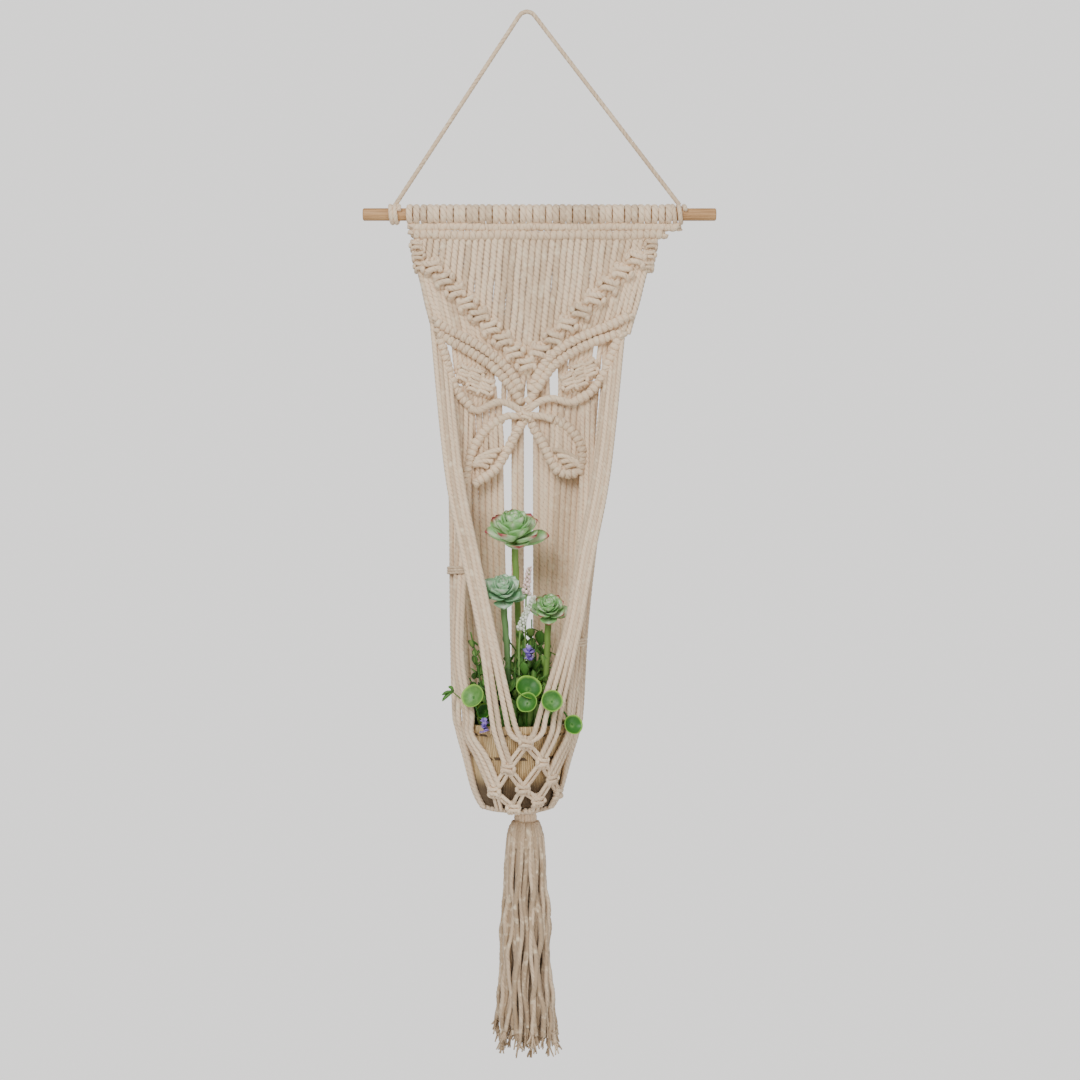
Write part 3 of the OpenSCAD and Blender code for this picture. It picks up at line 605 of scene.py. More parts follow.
def low_edge(side, x):
    """Height of the lower edge of an upper leaf: its low row and then its plain cord."""
    name = "wing_upper_left" if side < 0 else "wing_upper_right"
    edge = np.concatenate([in_plane(leaf_rows[name][2]), in_plane(plain_cords[name])[1:]])
    return row_height(edge, x)


def hung(top, low, diameter):
    """A strand that hangs inside a leaf, between two of its rows."""
    return spun(loose(top, low, draw, 0.0002), diameter, draw)


for side, name, x, z in ((-1, "wing_upper_left", -56, -358), (1, "wing_upper_right", 57, -353)):
    parts = [part for r, count in enumerate((2, 3, 2)) for c in range(count)
             for part in square_knot(mm([x + (c - (count - 1) / 2) * 11.5 - side * r * 4.5, -3.5,
                                         z - r * 8.8 + side * (c - (count - 1) / 2) * 3]), draw,
                                     size=0.0041, tall=0.92, mirrored=(r + c) % 2 == 1,
                                     roll=-side * 0.42)]
    second = second_left if side < 0 else second_right
    # Strands from the row above down to the mesh, from the mesh to the low row, and beside it.
    for c in np.linspace(-1, 1, 7) * 14:
        if side > 0 and 8 < c < 12:
            continue
        above, top = (x + side * 3 + c) * 0.001, (x + c) * 0.001
        parts.append(hung((above, 0.001, row_height(second, above)),
                          (top, -0.001, z * 0.001 - 0.002), fill_d))
    for c in np.linspace(-14, 19, 8) * side:
        top, below = (x - side * 9 + c) * 0.001, (x - side * 10 + c) * 0.001
        parts.append(hung((top, -0.001, z * 0.001 - 0.014),
                          (below, 0.001, low_edge(side, below)), fill_d))
    for line in (-39, -34.5, -22.5, -17, -12) if side < 0 else (83, 78, 38, 33, 20, 15, 10):
        top, low = line * 0.001, line * (1.0 if abs(line) > 60 else 1.03) * 0.001
        parts.append(hung((top, 0.0015, row_height(second, top)),
                          (low, 0.0015, low_edge(side, low)), leaf_d))
    of_cotton(name + "_fill", parts)

for side, name, first, last in ((-1, "wing_lower_left", -0.055, -0.027),
                                (1, "wing_lower_right", 0.052, 0.026)):
    outer, inner = (in_plane(row) for row in leaf_rows[name])
    parts = []
    for x in np.linspace(first, last, 7):
        top, low = row_height(outer, x), max(row_height(inner, x), row_height(outer, x) - 0.045)
        parts.append(spun(loose((x, -0.005, top), (x - side * 0.002, -0.012, low), draw), leaf_d,
                          draw, painted_side_shade=0.5))
    for k in range(4):
        start = np.array([0.026 + 0.004 * k, -0.015, -0.4365 - 0.006 * k])
        row = start + np.linspace(0, 1, 8)[:, None] * [0.025 - 0.003 * k, 0, -0.010 + 0.004 * k]
        row[:, 2] += 0.002 * np.sin(np.linspace(0, np.pi, 8))
        parts.append(spun(curve(row * [side, 1, 1], 3), laid_d, draw))
    of_cotton(name + "_fill", parts)

of_cotton("body_knot",
          square_knot(mm([-1, -10, -402.5]), draw, size=0.0034, roll=0.3, tall=0.8)
          + square_knot(mm([0.5, -8, -395]), draw, size=0.0028, roll=-0.5, tall=0.8))

# ---------------------------------------------------------------------------------------------
# Cradle. Twenty strands go on down behind the pot. Bunches of the outer cords come forward from
# the leaves' ends, pass its rim, and are knotted into a net of square knots over its front.
# ---------------------------------------------------------------------------------------------
pot_x, pot_y, pot_floor, pot_h = -9, -57, -781, 79
pot_rim, rim_r, base_r, rim_h, foot_h = pot_floor + pot_h, 52, 37, 8, 16
rim_gap, seat, knot_out, pitch, narrow, cord_r = 1.8, 0.3, 3.5, 5, 4.4, 2.2
bunch_d, back_d, net_d, gather_d, binding_d = 0.0052, 0.0066, 0.0037, 0.0046, 0.0028
net = np.array([[0, -717], [-17, -741], [15, -736], [-30, -764], [-3, -761], [24, -753],
                [-12, -780], [11, -773], [30, -768]], float)
net_links = [(0, 1), (0, 2), (1, 3), (1, 4), (2, 4), (2, 5), (3, 6), (4, 6), (4, 7), (5, 7),
             (5, 8)]


def pot_r(z):
    """The basket's radius at a height: even from base to rim, less 6 * (1 - height / foot_h) ** 2
    at its foot, which is rounded."""
    even_wall = base_r + (rim_r - 1.5 - base_r) * np.clip((z - pot_floor) / pot_h, 0, 1)
    return even_wall - 6 * (1 - np.clip((z - pot_floor) / foot_h, 0, 1)) ** 2


def on_pot(x, z, off):
    """The point in front of the pot at x and z, standing off its wall."""
    r = pot_r(z) + off
    return np.array([x, pot_y - np.sqrt(max(r * r - (x - pot_x) ** 2, 1)), z])


def round_pot(angle, z, off):
    """The point at an angle in degrees from the wall side, towards +X, standing off the pot."""
    r = off + (rim_r if z > pot_rim - rim_h - 2 * cord_r else pot_r(z))
    return np.array([pot_x + r * np.sin(np.radians(angle)), pot_y + r * np.cos(np.radians(angle)),
                     z])


def under_pot(angle):
    """The point below the edge of the pot's floor, where a cord turns in under it."""
    return round_pot(angle, pot_floor - cord_r - seat, cord_r + seat)


def over_rim(x, z, off):
    """The point in front of the pot at x and z, standing off its rim's own radius."""
    return np.array([x, pot_y - np.sqrt((rim_r + off) ** 2 - (x - pot_x) ** 2), z])


def net_angle(i):
    """The angle round the pot of knot i of the net."""
    return 180 - np.degrees(np.arcsin((net[i, 0] - pot_x) / (pot_r(net[i, 1]) + knot_out)))


def net_at(i):
    """The middle of knot i of the net."""
    return on_pot(*net[i], knot_out + 1.4)


def across(i):
    """The way along the pot's face at knot i of the net."""
    a = np.radians(net_angle(i))
    return np.array([np.cos(a), -np.sin(a), 0])


# Where each strand behind the pot leaves the panel: its x in mm.
back_x = np.array([-76, -69, -62, -55, -48, -41.3, -34.6, -28, -12.3, -6.3, 9.2, 15.2, 21.5, 28,
                   34.5, 41, 47.5, 54, 60.5, 69])


def back_way(j):
    """Strand j behind the pot: down from the leaves, in over the rim and down the wall."""
    a = back_x[j]
    top = low_edge(np.sign(a), a * 0.001) * 1000 - 1 if abs(a) > 13 else -400
    angle = -72 + 144 * j / 19
    b, c = (a, a) if abs(a) < 16 else (a * 0.9, a * 0.775) if a < 0 else (a * 0.83, a * 0.71)
    return [[a, 0, top], [b, 0, -530], [c, 0, -660], [c * 0.95, 0.6, -704],
            round_pot(angle, -745, cord_r + rim_gap + 0.4), round_pot(angle, -772, cord_r + 1),
            under_pot(angle)]


def front_way(side, k, out):
    """Cord k of a front bunch, from its outer edge: it leaves the panel, comes forward past the
    plants and over the rim to the top of the net. out gives its x at four heights."""
    o = (k - 1.5) * 4.3
    knot = 1 if side < 0 else 2
    rim, below = (33.5, 28, 20.5, 14.5)[k], (29.5, 24, 15, 7.6)[k]
    end = (net_at(knot) - across(knot) * side * (3 - 5.4 * k) + [0, -1, 4] if k < 2 else
           net_at(0) + [side * (1.6 + 2.9 * (3 - k)), -1, 2])
    return [[side * (out[0] + 1 - pitch * k), 1, -308 - 11 * k],
            [side * (out[0] - pitch * k), -5, -325 - 10 * k], [side * (out[1] - o), -46, -460],
            [side * (out[2] - o), -70, -543], [side * (out[3] - o), -93, -612],
            over_rim(side * rim, -684, cord_r + rim_gap),
            over_rim(side * below, -707, cord_r + rim_gap), end]


def flank_way(side, k, out, angle, off):
    """Cord k at the pot's side: it passes the rim at an angle and goes straight down to the foot,
    standing off the wall by less and less."""
    a, x = side * angle, side * (out[0] - k * pitch * 1.08)
    return [[x, 1, low_edge(side, x * 0.001) * 1000], [x, -3, -366 - 8 * k],
            [side * (out[1] - k * narrow), -20, -480],
            [side * (out[2] - k * narrow), -36 - 5 * k, -600], round_pot(a, -686, off + 3),
            round_pot(a, -708, off), round_pot(a, -734, off * 0.6 + 2.4),
            round_pot(a, -762, cord_r + 1.2), round_pot(a, -775, cord_r + 0.8), under_pot(a)]


def fan_way(side, k, out, angle, knot):
    """Cord k of the three that fan out past the side of the rim to an outer knot of the net."""
    turned = (angle + 180 - abs(180 - net_angle(knot))) / 2 + (k - 1) * 4.5
    x = side * (out[0] - k * pitch * 1.04)
    return [[x, 1, low_edge(side, x * 0.001) * 1000], [x, -3, -394 - 5 * k],
            [side * (out[1] - k * narrow), -24, -500],
            [side * (out[2] - k * 4), -64 - 5 * k, -630],
            round_pot(side * angle, -688, cord_r + rim_gap),
            round_pot(side * angle, -710, cord_r + rim_gap - 0.4),
            round_pot(side * turned, -732, cord_r + 2),
            net_at(knot) - across(knot) * side * (5.6 - 5.6 * k) + [0, -0.5, 4]]


def bunch(name, ways, diameter=bunch_d, step=0.0016, painted_side_shade=0.5):
    """One piece of several cords, whose ways are given by a few points each."""
    of_cotton(name, [spun(curve(mm(way), 10), diameter, draw, step, painted_side_shade=painted_side_shade)
                     for way in ways])


bunch("back_strands", [back_way(j) for j in range(20)], back_d, 0.0018, 0.15)
bunch("front_cords_left", [front_way(-1, k, (93, 71, 53.5, 38)) for k in range(4)])
bunch("front_cords_right", [front_way(1, k, (95, 73, 56.5, 43.5)) for k in range(4)])
bunch("side_cords_left", [flank_way(-1, k, (82, 75, 73), 82 + 14 * k, 7 - 1.2 * k)
                          for k in range(3)]
      + [fan_way(-1, k, (66, 67, 70), 116 + 7 * k, 3) for k in range(3)])
bunch("side_cords_right", [flank_way(1, k, (86, 73, 59), 82 + 8 * k, 8 - 2 * k) for k in range(3)]
      + [fan_way(1, k, (66, 62, 53), 106 + 6.5 * k, 5) for k in range(3)])

# Each binding is a thin cord wound three times round its bunch, as a helix of an oval that is
# slanted like the bunch.
for name, at, wide, depth, slant in (("binding_left", (-67, -38.5, -556), 13.4, 6.2, -46),
                                     ("binding_right", (49.2, -67.5, -625), 10.2, 4.6, 49)):
    t = np.linspace(0, 1, 96)
    angle, turned = t * 3 * 2 * np.pi, np.radians(slant)
    along, off = wide * np.cos(angle), depth * np.sin(angle)
    wrap = mm(np.stack([at[0] + along * np.cos(turned) - off * np.sin(turned),
                        at[1] + along * np.sin(turned) + off * np.cos(turned),
                        at[2] + (t - 0.5) * 7.5], 1))
    of_cotton(name, [spun(wrap, binding_d, draw, 0.0016, 8)])

knots = []
for i in range(len(net)):
    knots += square_knot(mm(net_at(i)), draw, face=np.radians(180 - net_angle(i)), size=net_d,
                         mirrored=i % 2 == 1, roll=draw.uniform(-0.2, 0.2), deep=0.75)
of_cotton("net_knots", knots)

# A pair of cords joins each two neighbours of the net, and from the lowest knots a pair goes on
# to the foot.
links = []
for i, j in net_links:
    x, z = (net[i] + net[j]) / 2
    middle = on_pot(x, z, cord_r + 2.2)
    for s in (-1, 1):
        links.append([net_at(i) + across(i) * 2.2 * s, middle + across(i) * 2.9 * s,
                      net_at(j) + across(j) * 2.2 * s])
for i in (3, 6, 7, 8):
    for s in (-1, 1):
        links.append([net_at(i) + across(i) * 2.3 * s,
                      round_pot(net_angle(i), pot_floor - cord_r - seat, cord_r + 1)
                      + across(i) * 2.3 * s])
bunch("net_cords", links, net_d, painted_side_shade=0)

# Under the pot the cords run in from its foot to the neck, which is 8 mm nearer the middle.
gather = []
for k in range(30):
    a = np.radians(k * 12 + draw.uniform(-2, 2))
    r, drop = np.array([[32.8, 29, 22, 14.5, 10.8], [-2.0, -3.1, -4.2, -5.9, -7.0]])
    gather.append(mm(np.stack([pot_x + np.sin(a) * r + (8 * (32.8 - r) / 22.8),
                               pot_y + np.cos(a) * r, pot_floor + drop], 1)))
of_cotton("cradle_gather", [spun(curve(way, 6), gather_d, draw, 0.002, 10) for way in gather])

# ---------------------------------------------------------------------------------------------
# Neck and tassel. All the cords run together under the pot, are bound, and hang down cut off
# uneven, their ends frayed. The bound neck swings a little, so it is rounded like a ball.
# ---------------------------------------------------------------------------------------------
neck, neck_r, neck_cords = np.array([-1, -57, -795]), 9.0, 20
neck_d, head_d, yarn_r = 0.0042, 0.0046, 0.0008
parts = []
for k in range(neck_cords):
    a = k * 2 * np.pi / neck_cords + draw.uniform(-0.06, 0.06)
    angle = np.linspace(0.16, 0.84, 12) * np.pi
    out = neck_r * np.sin(angle)
    parts.append(spun(mm(np.stack([neck[0] + out * np.cos(a), neck[1] + out * np.sin(a),
                                   neck[2] + neck_r * 1.05 * np.cos(angle)], 1)), neck_d, draw,
                      0.0016, 10))
of_cotton("gathering_knot", parts, "neck")


def skirt(k, count, ring, rng, top, length):
    """A tassel strand: it leaves the neck at an angle, widens to the shoulders, then hangs, with
    a slow wave that grows downwards, and flares at the frayed hem. The radius is ring times the
    skirt's own."""
    a = (k + rng.uniform(-0.35, 0.35)) * 2 * np.pi / count
    t = np.linspace(0, 1, 44)
    drop = top + t * length
    flare = rng.uniform(0, 1) ** 3 * 17
    skirt_r = np.interp(drop, [0, 5, 10, 18, 30, 80, 150, 190],
                        [10, 12.4, 14.6, 16.2, 17.2, 20.3, 23.5, 26])
    wide = (skirt_r + flare * np.clip((drop - 180) / 46, 0, 1) ** 1.6) * ring
    wave = ((np.sin(drop * 0.08 + rng.uniform(0, 6)) * 1.7
             + np.sin(drop * 0.21 + rng.uniform(0, 6)) * 0.7) * np.clip((drop - 25) / 60, 0, 1))
    turn = a + (np.sin(drop * 0.075 + rng.uniform(0, 6)) * 1.9 * np.clip((drop - 20) / 50, 0, 1)
                / np.maximum(wide, 8))
    return mm(np.stack([neck[0] + (wide + wave) * np.cos(turn),
                        neck[1] + (wide + wave) * 0.92 * np.sin(turn), neck[2] - drop], 1))


def frayed(way, rng, tone):
    """Seven thin yarns that splay out of a strand's cut end."""
    end, down = way[-1], unit(way[-1] - way[-4])
    tips = rng.normal(0, 0.0021, (7, 3)) + down * rng.uniform(0.004, 0.009, (7, 1))
    return [tube(curve([end - down * 0.003, end + tip * 0.4, end + tip + [0, 0, -0.001]], 3),
                 yarn_r, 5, tone=tone) for tip in tips]


head, strands = [], []
for k in range(30):
    head.append(spun(even(skirt(k, 30, 0.95, draw, 3.5, 24.5), 0.002), head_d, draw, 0.0016, 10,
                     tone=draw.uniform(0.1, 0.45)))
for count, ring in ((28, 1.0), (22, 0.78), (14, 0.5)):
    for k in range(count):
        top = draw.uniform(5, 19)
        length = draw.uniform(192, 222) - top
        way = skirt(k, count, ring, draw, top, length)
        # Strands of the inner rings get a lower tone, so they are darker: painted shade inside the
        # tassel.
        tone = draw.uniform(0.0, 0.6) * ring ** 2
        strands.append(spun(way, draw.uniform(0.0038, 0.005), draw, 0.0022, 8, tone=tone,
                            painted_side_shade=0.4))
        strands += frayed(way, draw, tone)
of_cotton("tassel_head", head, "tassel")
of_cotton("tassel_strands", strands, "tassel")

# ---------------------------------------------------------------------------------------------
# Basket. A tapered wicker pot of upright straws, with two rows of stitches round it, a rolled
# rim, and darker towards its foot. It holds dark potting foam that the stems stand in.
# ---------------------------------------------------------------------------------------------


def grid(points, tone=0.5, crest=None):
    """Faces for points on a grid of rings, each joined round to its own first point."""
    nu, nv = points.shape[:2]
    i, j = np.meshgrid(np.arange(nu - 1), np.arange(nv), indexing="ij")
    a, b = i * nv + j, i * nv + (j + 1) % nv
    c, d = b + nv, a + nv
    u = np.stack([i, i, i + 1, i + 1], -1) / (nu - 1)
    v = np.stack([j, j + 1, j + 1, j], -1) / (nv - 1)
    count = nu * nv
    return {"points": points.reshape(-1, 3), "quads": np.stack([a, b, c, d], -1).reshape(-1, 4),
            "tris": np.zeros((0, 3), int), "quad_uv": np.stack([u, v], -1).reshape(-1, 4, 2),
            "tri_uv": np.zeros((0, 3, 2)),
            "crest": np.full(count, 0.5) if crest is None else crest.ravel(),
            "tone": np.full(count, tone) if np.isscalar(tone) else np.asarray(tone).ravel()}


wicker, start = material("wicker")
here, crest = start.here(), start.held("crest")
straw = start.along().stretched(3, 90, 1).noise(1, 3)
height = here.channel(2)
foot = height.ramp(-0.746, -0.764)
pale = straw.ramp(0.3, 0.7).mix(linear(222, 196, 148), linear(184, 152, 104))
shaded = (1 - crest).ramp(0.35, 1.0).mix(pale, linear(126, 98, 60))
gaps = here.noise(150, 1).ramp(0.42, 0.48)
stitch = gaps * (abs(height + 0.733).ramp(0.0022, 0.001)
                 + abs(height + 0.711).ramp(0.0016, 0.0008))
surface(start, (start.math("MAXIMUM", foot, stitch) * 0.9).mix(shaded, linear(74, 54, 34)),
        0.62 + straw * 0.2, straw, 0.0004, 0.6)

# The wall's profile in mm goes up outside, over the rolled rim and down inside. Below the rim each
# straw bulges by the sine of its share of a turn, and every other ring outside is woven wider.
# The rim is wound with 46 turns, as a sine of the angle and the height.
straws, wall, bulge_out, floor_up, rim_from = 150, 3.2, 0.8, 5, 71.2
outer_z, inner_z = np.linspace(0, 68, 34), np.linspace(70, floor_up, 14)
rim = np.array([[69.5, 49.5], [71, 50], [71.4, 51], [72.4, 51.8], [74, 52], [76, 51.9],
                [78, 51.6], [79, 50.8], [79, 48.8], [78.2, 47.9], [76, 47.4]])
side_z = np.concatenate([outer_z, rim[:, 0], inner_z])
side_r = np.concatenate([pot_r(pot_floor + outer_z), rim[:, 1], pot_r(pot_floor + inner_z) - wall])
side_r[1:33:2] += 0.35
a = np.linspace(0, 2 * np.pi, straws * 6, endpoint=False)
bulge = np.abs(np.sin(a * straws / 2))
below = (side_z < rim_from)[:, None]
r = side_r[:, None] - bulge_out + bulge_out * bulge[None] * below + np.where(
    below, 0, 0.5 + 0.4 * np.sin(a * 46 + side_z[:, None] * 0.9))


def basket_rings(r, height):
    """Rings about the basket's axis, of radius r at a height over its floor, given for each."""
    ring = np.stack([pot_x + r * np.cos(a), pot_y + r * np.sin(a),
                     pot_floor + np.asarray(height, float) + 0 * r], -1)
    return mm(ring)[:, ::-1]


def basket_disc(height, *radii):
    """A flat disc between two radii; it faces up if the first is the larger, or else down."""
    return grid(basket_rings(np.array(radii)[:, None] + 0 * a, height))


piece("pot", [grid(basket_rings(r, side_z[:, None]),
                   crest=np.broadcast_to(bulge, r.shape)[:, ::-1]),
              basket_disc(0, 0.01, pot_r(pot_floor) - bulge_out),
              basket_disc(floor_up, pot_r(pot_floor + floor_up) - wall, 0.01)],
      wicker, "pot")

foam, start = material("potting_foam")
crumbs = start.here().noise(420, 4, 0.7)
surface(start, crumbs.ramp(0.35, 0.7).mix(linear(22, 19, 16), linear(58, 48, 38)),
        0.9 + crumbs * 0.1, crumbs, 0.0012, 0.9)
finished("soil", foam)

# ---------------------------------------------------------------------------------------------
# Rosettes. Three artificial succulents of soft moulded plastic: whorls of broad pointed leaves
# on a ridged stem. The leaves are pale along the middle, and their tips are brushed with pink.
# ---------------------------------------------------------------------------------------------
soil_z, golden = pot_rim - 5, 2.39996


def leaf(length, width, thick, rise, cup, point, taper, nu, nv):
    """One leaf along +X, where u goes from 0 to 1 along it and v from -1 to 1 across. Half its
    width is width / 2 * sin(pi * u ** (1 / (2 * point))) ** taper, with a small end left at the
    stem, its height is length * rise * u ** 1.7 + width * cup * v ** 2 * sin(0.9 * pi * u), and
    its thickness goes to nothing at the edge. Upper and lower faces are one closed grid, round
    the leaf's edge. Returns points, how far along it each is, and how far across."""
    u = np.linspace(0, 1, nu)[:, None]
    v = np.concatenate([np.linspace(-1, 1, nv), np.linspace(1, -1, nv)[1:-1]])[None]
    upper = np.concatenate([np.ones(nv), -np.ones(nv - 2)])[None]
    outline = np.sin(np.pi * np.minimum(u, 0.9999) ** (1 / (point * 2))) ** taper
    half = width / 2 * np.maximum(outline, 0.22 * (1 - u) ** 2) * np.where(u > 0.999, 0.0, 1)
    body = np.sqrt(np.clip(1 - v ** 2, 0, 1)) * thick / 2 * np.sqrt(np.clip(1.02 - u ** 3, 0, 1))
    z = rise * u ** 1.7 * length + cup * width * v ** 2 * np.sin(np.pi * u * 0.9) + upper * body
    x = length * u * (1 - 0.12 * (rise * u) ** 2) + 0 * v
    return np.stack([x, half * v, z], -1), u + 0 * v, np.abs(v) + 0 * u


def about_x(angle):
    """The matrix that turns by an angle in radians about X."""
    c, s = np.cos(angle), np.sin(angle)
    return np.array([[1, 0, 0], [0, c, -s], [0, s, c]])


def about_z(angle):
    """The matrix of about_x, with each axis moved on by one."""
    return np.roll(about_x(angle), -1, (0, 1))


def leaf_part(length, width, thick, rise, cup, turn, tilt, at, point, tone, nu, nv, taper=0.62):
    """A leaf tilted up by an angle in radians, turned about Z by another, and set at a point. Its
    crest tells how far along it a point is, and its tone how far across."""
    points, along, across = leaf(length, width, thick, rise, cup, point, taper, nu, nv)
    c, s = np.cos(tilt), np.sin(tilt)
    raised = points @ (about_z(turn) @ np.array([[c, 0, -s], [0, 1, 0], [s, 0, c]])).T
    return grid(mm(np.asarray(at) + raised), crest=along, tone=across * 0.5 + (tone - 0.25) * 0.5)


def plastic_leaf(name, rib, edge, tip, foot, tip_from, roughness=0.45):
    """A leaf's finish: rib colour in the middle, edge colour outside, foot colour where it leaves
    its stem, which is a painted shade, and tip colour growing from the share tip_from of its
    length."""
    look, start = material(name)
    along, across = start.held("crest"), start.held("tone")
    mottle = start.here().noise(260, 3)
    base = (across * 1.5 + mottle * 0.35).ramp(0.25, 0.95).mix(linear(*rib), linear(*edge))
    # Painted shade near the stem: the foot colour, darker than the rib, fills the part of the leaf
    # nearest it.
    inner = along.ramp(0.0, 0.38).mix(linear(*foot), base)
    surface(start, (along + (mottle - 0.5) * 0.12).ramp(tip_from, 1.0).mix(inner, linear(*tip)),
            roughness + mottle * 0.15, mottle, 0.0003, 0.35, Coat_Roughness=0.4)
    return look


def rosette(name, at, d, root, look, lean, leaves=26):
    """Leaves at the golden angle: outer ones long, flat and low, inner ones short and upright. The
    head leans towards the front by so many radians. Only the outer third has brushed tips, and of
    these the leaves at the back stand up. The stem bends from its root in the foam to the core."""
    at, parts = np.array(at, float), []
    for k in range(leaves):
        t, turn = k / (leaves - 1), k * golden + draw.uniform(-0.12, 0.12)
        outer = t <= 0.36
        stand = 0.9 * max(np.sin(turn) - 0.4, 0) if outer else 0
        part = leaf_part(d * (0.56 - 0.26 * t), d * (0.42 - 0.16 * t), d * 0.045, 0.22, 0.22,
                         turn, 0.10 + 1.12 * t + stand, [0, 0, d * (-0.16 + 0.30 * t)], 0.34,
                         draw.uniform(0.1, 0.7), 14, 9, taper=0.8)
        part["points"] = part["points"] @ about_x(lean).T + mm(at)
        if not outer:
            part["crest"] = part["crest"] * 0.85
        parts.append(part)
    stem = curve([[root[0], root[1], soil_z - 1],
                  [(root[0] + at[0]) / 2 + 1.5, (root[1] + at[1]) / 2, (soil_z + at[2]) / 2],
                  at - [0, 0, d * 0.05]], 14)
    way = even(mm(stem), 0.002)
    parts.append(tube(way, np.linspace(0.0026, 0.0034, len(way)), 10, 0.09, 0, 5, tone=0.1))
    parts[-1]["crest"][:] = 0.02
    piece(name, parts, look, "pot")


pink_look = plastic_leaf("rosette_green", (232, 244, 214), (140, 194, 120), (178, 66, 80),
                         (112, 150, 64), 0.8)
grey_look = plastic_leaf("rosette_blue_green", (226, 240, 220), (140, 190, 144), (214, 230, 200),
                         (104, 146, 84), 0.97)
rosette("rosette_top", (-12, -48, soil_z + 184), 63, (-7, -40), pink_look, 0.5)
rosette("rosette_left", (-23, -61, soil_z + 128), 47, (-16, -62), grey_look, 0.75)
rosette("rosette_right", (21, -66, soil_z + 112), 41, (14, -60), pink_look, 0.8)

# ---------------------------------------------------------------------------------------------
# Small plants round the stems, all of moulded plastic or cloth: round cup leaves with a bright
# rim, a mass of low leaves and blades, two spikes of white buds, and a few purple flowers.
# ---------------------------------------------------------------------------------------------


def cup(at, d, tilt, turn, tone, dish=0.22):
    """A round dished leaf: a disc whose height is d * dish * r ** 2.6, with a gentle wave round
    its edge. tilt and turn are in degrees."""
    r = np.concatenate([np.linspace(0.02, 1, 12), np.linspace(1, 0.02, 8)])[:, None]
    a = np.linspace(0, 2 * np.pi, 36, endpoint=False)[None]
    face = np.concatenate([np.ones(12), -np.ones(8)])[:, None]
    edge = 1 + 0.012 * np.cos(a * 5 + draw.uniform(0, 6))
    z = d * dish * (r ** 2.6) + d * 0.02 * np.sin(a * 3 + draw.uniform(0, 6)) * r + face * 0.35
    points = np.stack([d / 2 * r * edge * np.cos(a), d / 2 * r * edge * np.sin(a), z], -1)
    turned = about_z(np.radians(turn)) @ about_x(np.radians(tilt))
    points = (points - [0, 0, d * dish * 0.5]) @ turned.T + np.array(at, float)
    return grid(mm(points), crest=r + 0 * a, tone=tone)


def stalk(root, at, d, over=(), crest=0.3):
    """A round stalk d mm thick, from its root in the foam through the points over, to at."""
    ways = [np.array([root[0], root[1], soil_z - 1.0]), *map(np.array, over), np.array(at, float)]
    part = tube(even(mm(curve(ways, 10)), 0.002), d * 0.0005, 6)
    part["crest"][:] = crest
    return part


cup_look = plastic_leaf("cup_green", (152, 196, 110), (46, 112, 30), (146, 198, 74),
                        (104, 156, 72), 0.80, 0.4)
parts = []
for at, d, tilt, turn, tone, root, over in (
        ((-50, -98, soil_z + 33), 22.5, 68, -24, 0.34, (-38, -66), ((-45, -90, soil_z + 14),)),
        ((2, -89, soil_z + 40), 25, 55, 14, 0.5, (-2, -80), ()),
        ((1, -99, soil_z + 27), 20, 66, -16, 0.45, (0, -86), ()),
        ((24, -113, soil_z + 30), 20.5, 76, 10, 0.42, (16, -80), ((22, -92, soil_z + 12),
                                                                 (24.2, -105, soil_z + 20))),
        ((-40, -88, soil_z + 18), 15.4, 70, -30, 0.6, (-33, -80), ()),
        ((44, -98, soil_z + 6), 18.9, 70, 24, 0.7, (26, -80), ((31, -85, soil_z + 21),))):
    parts += [cup(at, d, tilt, turn, tone), stalk(root, np.add(at, (0, 1.5, 0)), 2, over)]
piece("cup_leaves", parts, cup_look, "pot")

low_look = plastic_leaf("low_leaves", (150, 190, 100), (78, 130, 50), (150, 188, 98), (52, 88, 36),
                        0.97, 0.5)
low_leaves, blades, leafy_stalks, leaves_each, reach = 80, 34, 52, 9, 47
parts = []
# Low leaves, at the golden angle from the middle outwards. None stands in front at the rim, where
# the pot lifts past the cords, and none reaches out past the rim.
for k in range(low_leaves):
    a = np.radians(25 + k * 137.5)
    r = 5 + 36 * np.sqrt((k + 0.5) / low_leaves)
    if r > 31 and np.cos(a) < -0.8:
        continue
    length = draw.uniform(20, 40) * (1.1 - 0.4 * k / low_leaves)
    lean = np.arccos(min((reach - r) * draw.uniform(0.1, 1) / length, 0.8))
    parts.append(leaf_part(length, draw.uniform(11, 17), 0.9, draw.uniform(0, 0.15), 0.12,
                           np.pi / 2 - a + draw.uniform(-0.5, 0.5), lean,
                           (pot_x + r * np.sin(a), pot_y + r * np.cos(a), soil_z - 1.5), 0.4,
                           draw.uniform(0.0, 1.0), 9, 5))
# Long thin blades, all behind the middle.
for k in range(blades):
    a, lean = draw.uniform(-0.2, 3.34), draw.uniform(1.15, 1.5)
    parts.append(leaf_part(draw.uniform(50, 92), 3.4, 0.5, draw.uniform(-0.2, 0.1), 0.1, a, lean,
                           (pot_x + 14 * np.cos(a), pot_y - 4 + 14 * np.sin(a), soil_z - 1.5),
                           0.5, draw.uniform(0.2, 0.8), 10, 5))
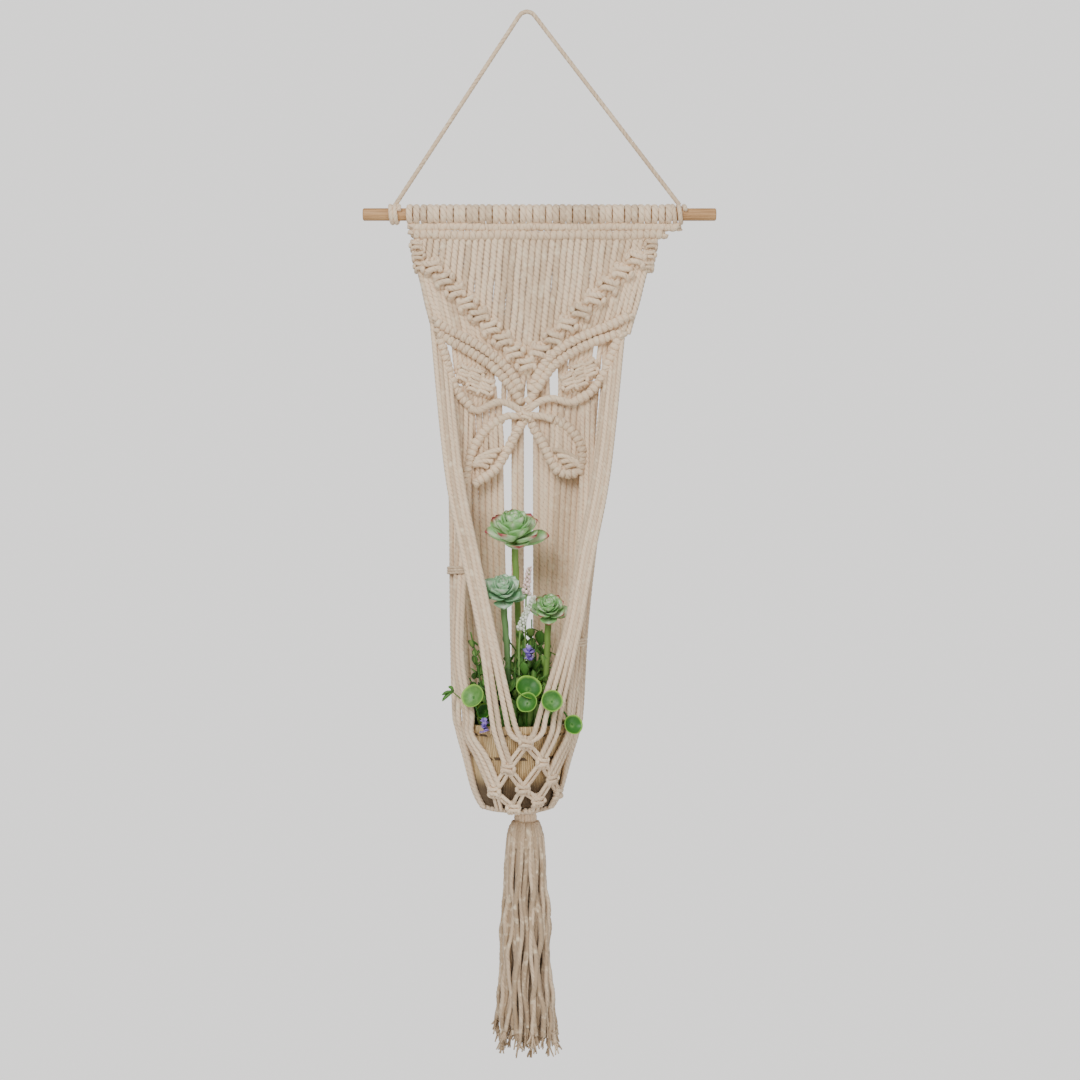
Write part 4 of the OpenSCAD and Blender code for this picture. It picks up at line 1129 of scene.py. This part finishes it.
# Leafy stalks. The first ones stand where they are given, as their foot's x and y and their top's
# x, y and height over the foam; the rest are spread over it.
sprays = [((-40, -56), (-54, -60, 92)), ((-40, -52), (-52, -50, 72)), ((-40, -62), (-55, -66, 48)),
          ((-6, -50), (-4, -48, 100)), ((2, -52), (5, -50, 104)), ((8, -50), (15, -50, 94)),
          ((12, -56), (22, -54, 80)), ((-16, -50), (-19, -46, 92)), ((4, -62), (9, -64, 82)),
          ((-30, -44), (-44, -40, 76)), ((-6, -60), (-3, -62, 84))]
for k in range(leafy_stalks):
    a, r = 0.9 + k * 2.4, 6 + 25 * np.sqrt((k + 0.5) / leafy_stalks)
    foot = np.array([pot_x + r * np.sin(a), pot_y + 4 + r * 0.8 * np.cos(a), soil_z])
    top = foot + [7 * np.sin(a), 3 * np.cos(a), draw.uniform(0.5, 1) * (100 - 1.4 * r)]
    if k < len(sprays):
        foot, top = (np.add(end, (0, 0, soil_z)) for end in ((*sprays[k][0], 0), sprays[k][1]))
    parts.append(stalk(foot, top, 1.5, ((foot + top) / 2 + [1.5, 0, 4],)))
    for j in range(leaves_each):
        t = 0.2 + 0.09 * j
        size = draw.uniform(15, 23) * (1.1 - 0.4 * t) * (0.7 if k < 3 else 1)
        parts.append(leaf_part(size, size * 0.62, 0.6, draw.uniform(-0.1, 0.2), 0.12,
                               j * 2.4 + draw.uniform(-0.4, 0.4),
                               draw.choice([-1, 1]) * draw.uniform(0.45, 1.2),
                               foot * (1 - t) + top * t, 0.42, draw.uniform(0.0, 1.2), 8, 5))
# One twig reaches out past the side bunch, with three leaves at its tip.
parts.append(stalk((-42, -68), (-72, -84, soil_z + 38), 1.2, ((-52, -76, soil_z + 18),)))
for turn, tilt, length in ((0.35, -0.8, 15), (0.1, -0.45, 12), (0.2, 0.5, 7)):
    parts.append(leaf_part(length, 4.2, 0.8, 0.1, 0.7, np.pi + turn, tilt,
                           (-69, -83, soil_z + 37), 0.5, 0.9, 7, 5))
piece("foliage", parts, low_look, "pot")


def beads(centres, radii):
    """Small round buds: for each a grid of 5 by 8 points on a ball."""
    t, a = np.linspace(0.08, 0.92, 5)[:, None] * np.pi, np.linspace(0, 2 * np.pi, 8, False)[None]
    ball = np.stack([np.sin(t) * np.cos(a), np.sin(t) * np.sin(a), np.cos(t) + 0 * a], -1)
    return [grid(mm(np.array(c) + ball * r)[::-1]) for c, r in zip(centres, radii)]


# Buds have a crest of a half, and the stems 0, which makes them green.
white, start = material("white_buds")
here = start.here()
dust = here.noise(500, 2)
white_bud = dust.ramp(0.3, 0.7).mix(linear(240, 240, 230), linear(196, 208, 180))
pink_bud = dust.ramp(0.3, 0.7).mix(linear(248, 230, 222), linear(222, 186, 176))
bud = here.channel(2).ramp(-0.582, -0.576).mix(white_bud, pink_bud)
surface(start, start.held("crest").ramp(0.1, 0.3).mix(linear(120, 156, 84), bud),
        0.6 + dust * 0.2, dust, 0.0003, 0.4)
parts = []
for way, thick, count in ((((-3, -66, soil_z - 1), (-1, -69, soil_z + 90), (0, -71, soil_z + 132),
                            (3, -70, soil_z + 155)), 1.2, 30),
                          (((-4, -74, soil_z - 1), (-7, -76, soil_z + 60), (-5, -78, soil_z + 98),
                            (7, -80, soil_z + 127)), 1.15, 52)):
    stem = curve(way, 12)
    parts.append(tube(even(mm(stem), 0.002), 0.0009, 6))
    parts[-1]["crest"][:] = 0
    t = np.linspace(0, 1, count)
    line = even(stem[-14:], 0.5)
    line = np.stack([np.interp(t, np.linspace(0, 1, len(line)), line[:, k]) for k in range(3)], 1)
    out, turn = (2.5 - 1.3 * t) * thick, np.arange(count) * 2.4
    parts += beads(line + np.stack([out * np.cos(turn), out * np.sin(turn), 0 * t], 1),
                   (1.6 - 0.4 * t) * thick * draw.uniform(0.7, 1.25, count))
piece("flower_spikes", parts, white, "pot")

purple, start = material("purple_petals")
along, veins = start.held("crest"), start.here().noise(380, 2)
petal = (along + veins * 0.3).ramp(0.2, 1.0).mix(linear(112, 84, 176), linear(168, 142, 222))
surface(start, along.ramp(0.02, 0.1).mix(linear(74, 116, 50), petal), 0.55 + veins * 0.2, veins,
        0.0003, 0.4)
parts, petals = [], 26
for foot, at, size in (((3, -74), (2, -77, soil_z + 71), 7.5),
                       ((-33, -88), (-39.4, -105, soil_z + 4.5), 4.9)):
    parts.append(stalk(foot, at, 1.4, crest=0))
    for k in range(petals):
        parts.append(leaf_part(size * draw.uniform(0.7, 1), 5.6, 0.5, 0.25, 0.2, k * 2.4,
                               draw.uniform(-0.5, 1.2), (at[0], at[1], at[2] - 4 + (k % 5) * 2.2),
                               0.4, draw.uniform(0.2, 0.8), 7, 5))
piece("purple_flowers", parts, purple, "pot")
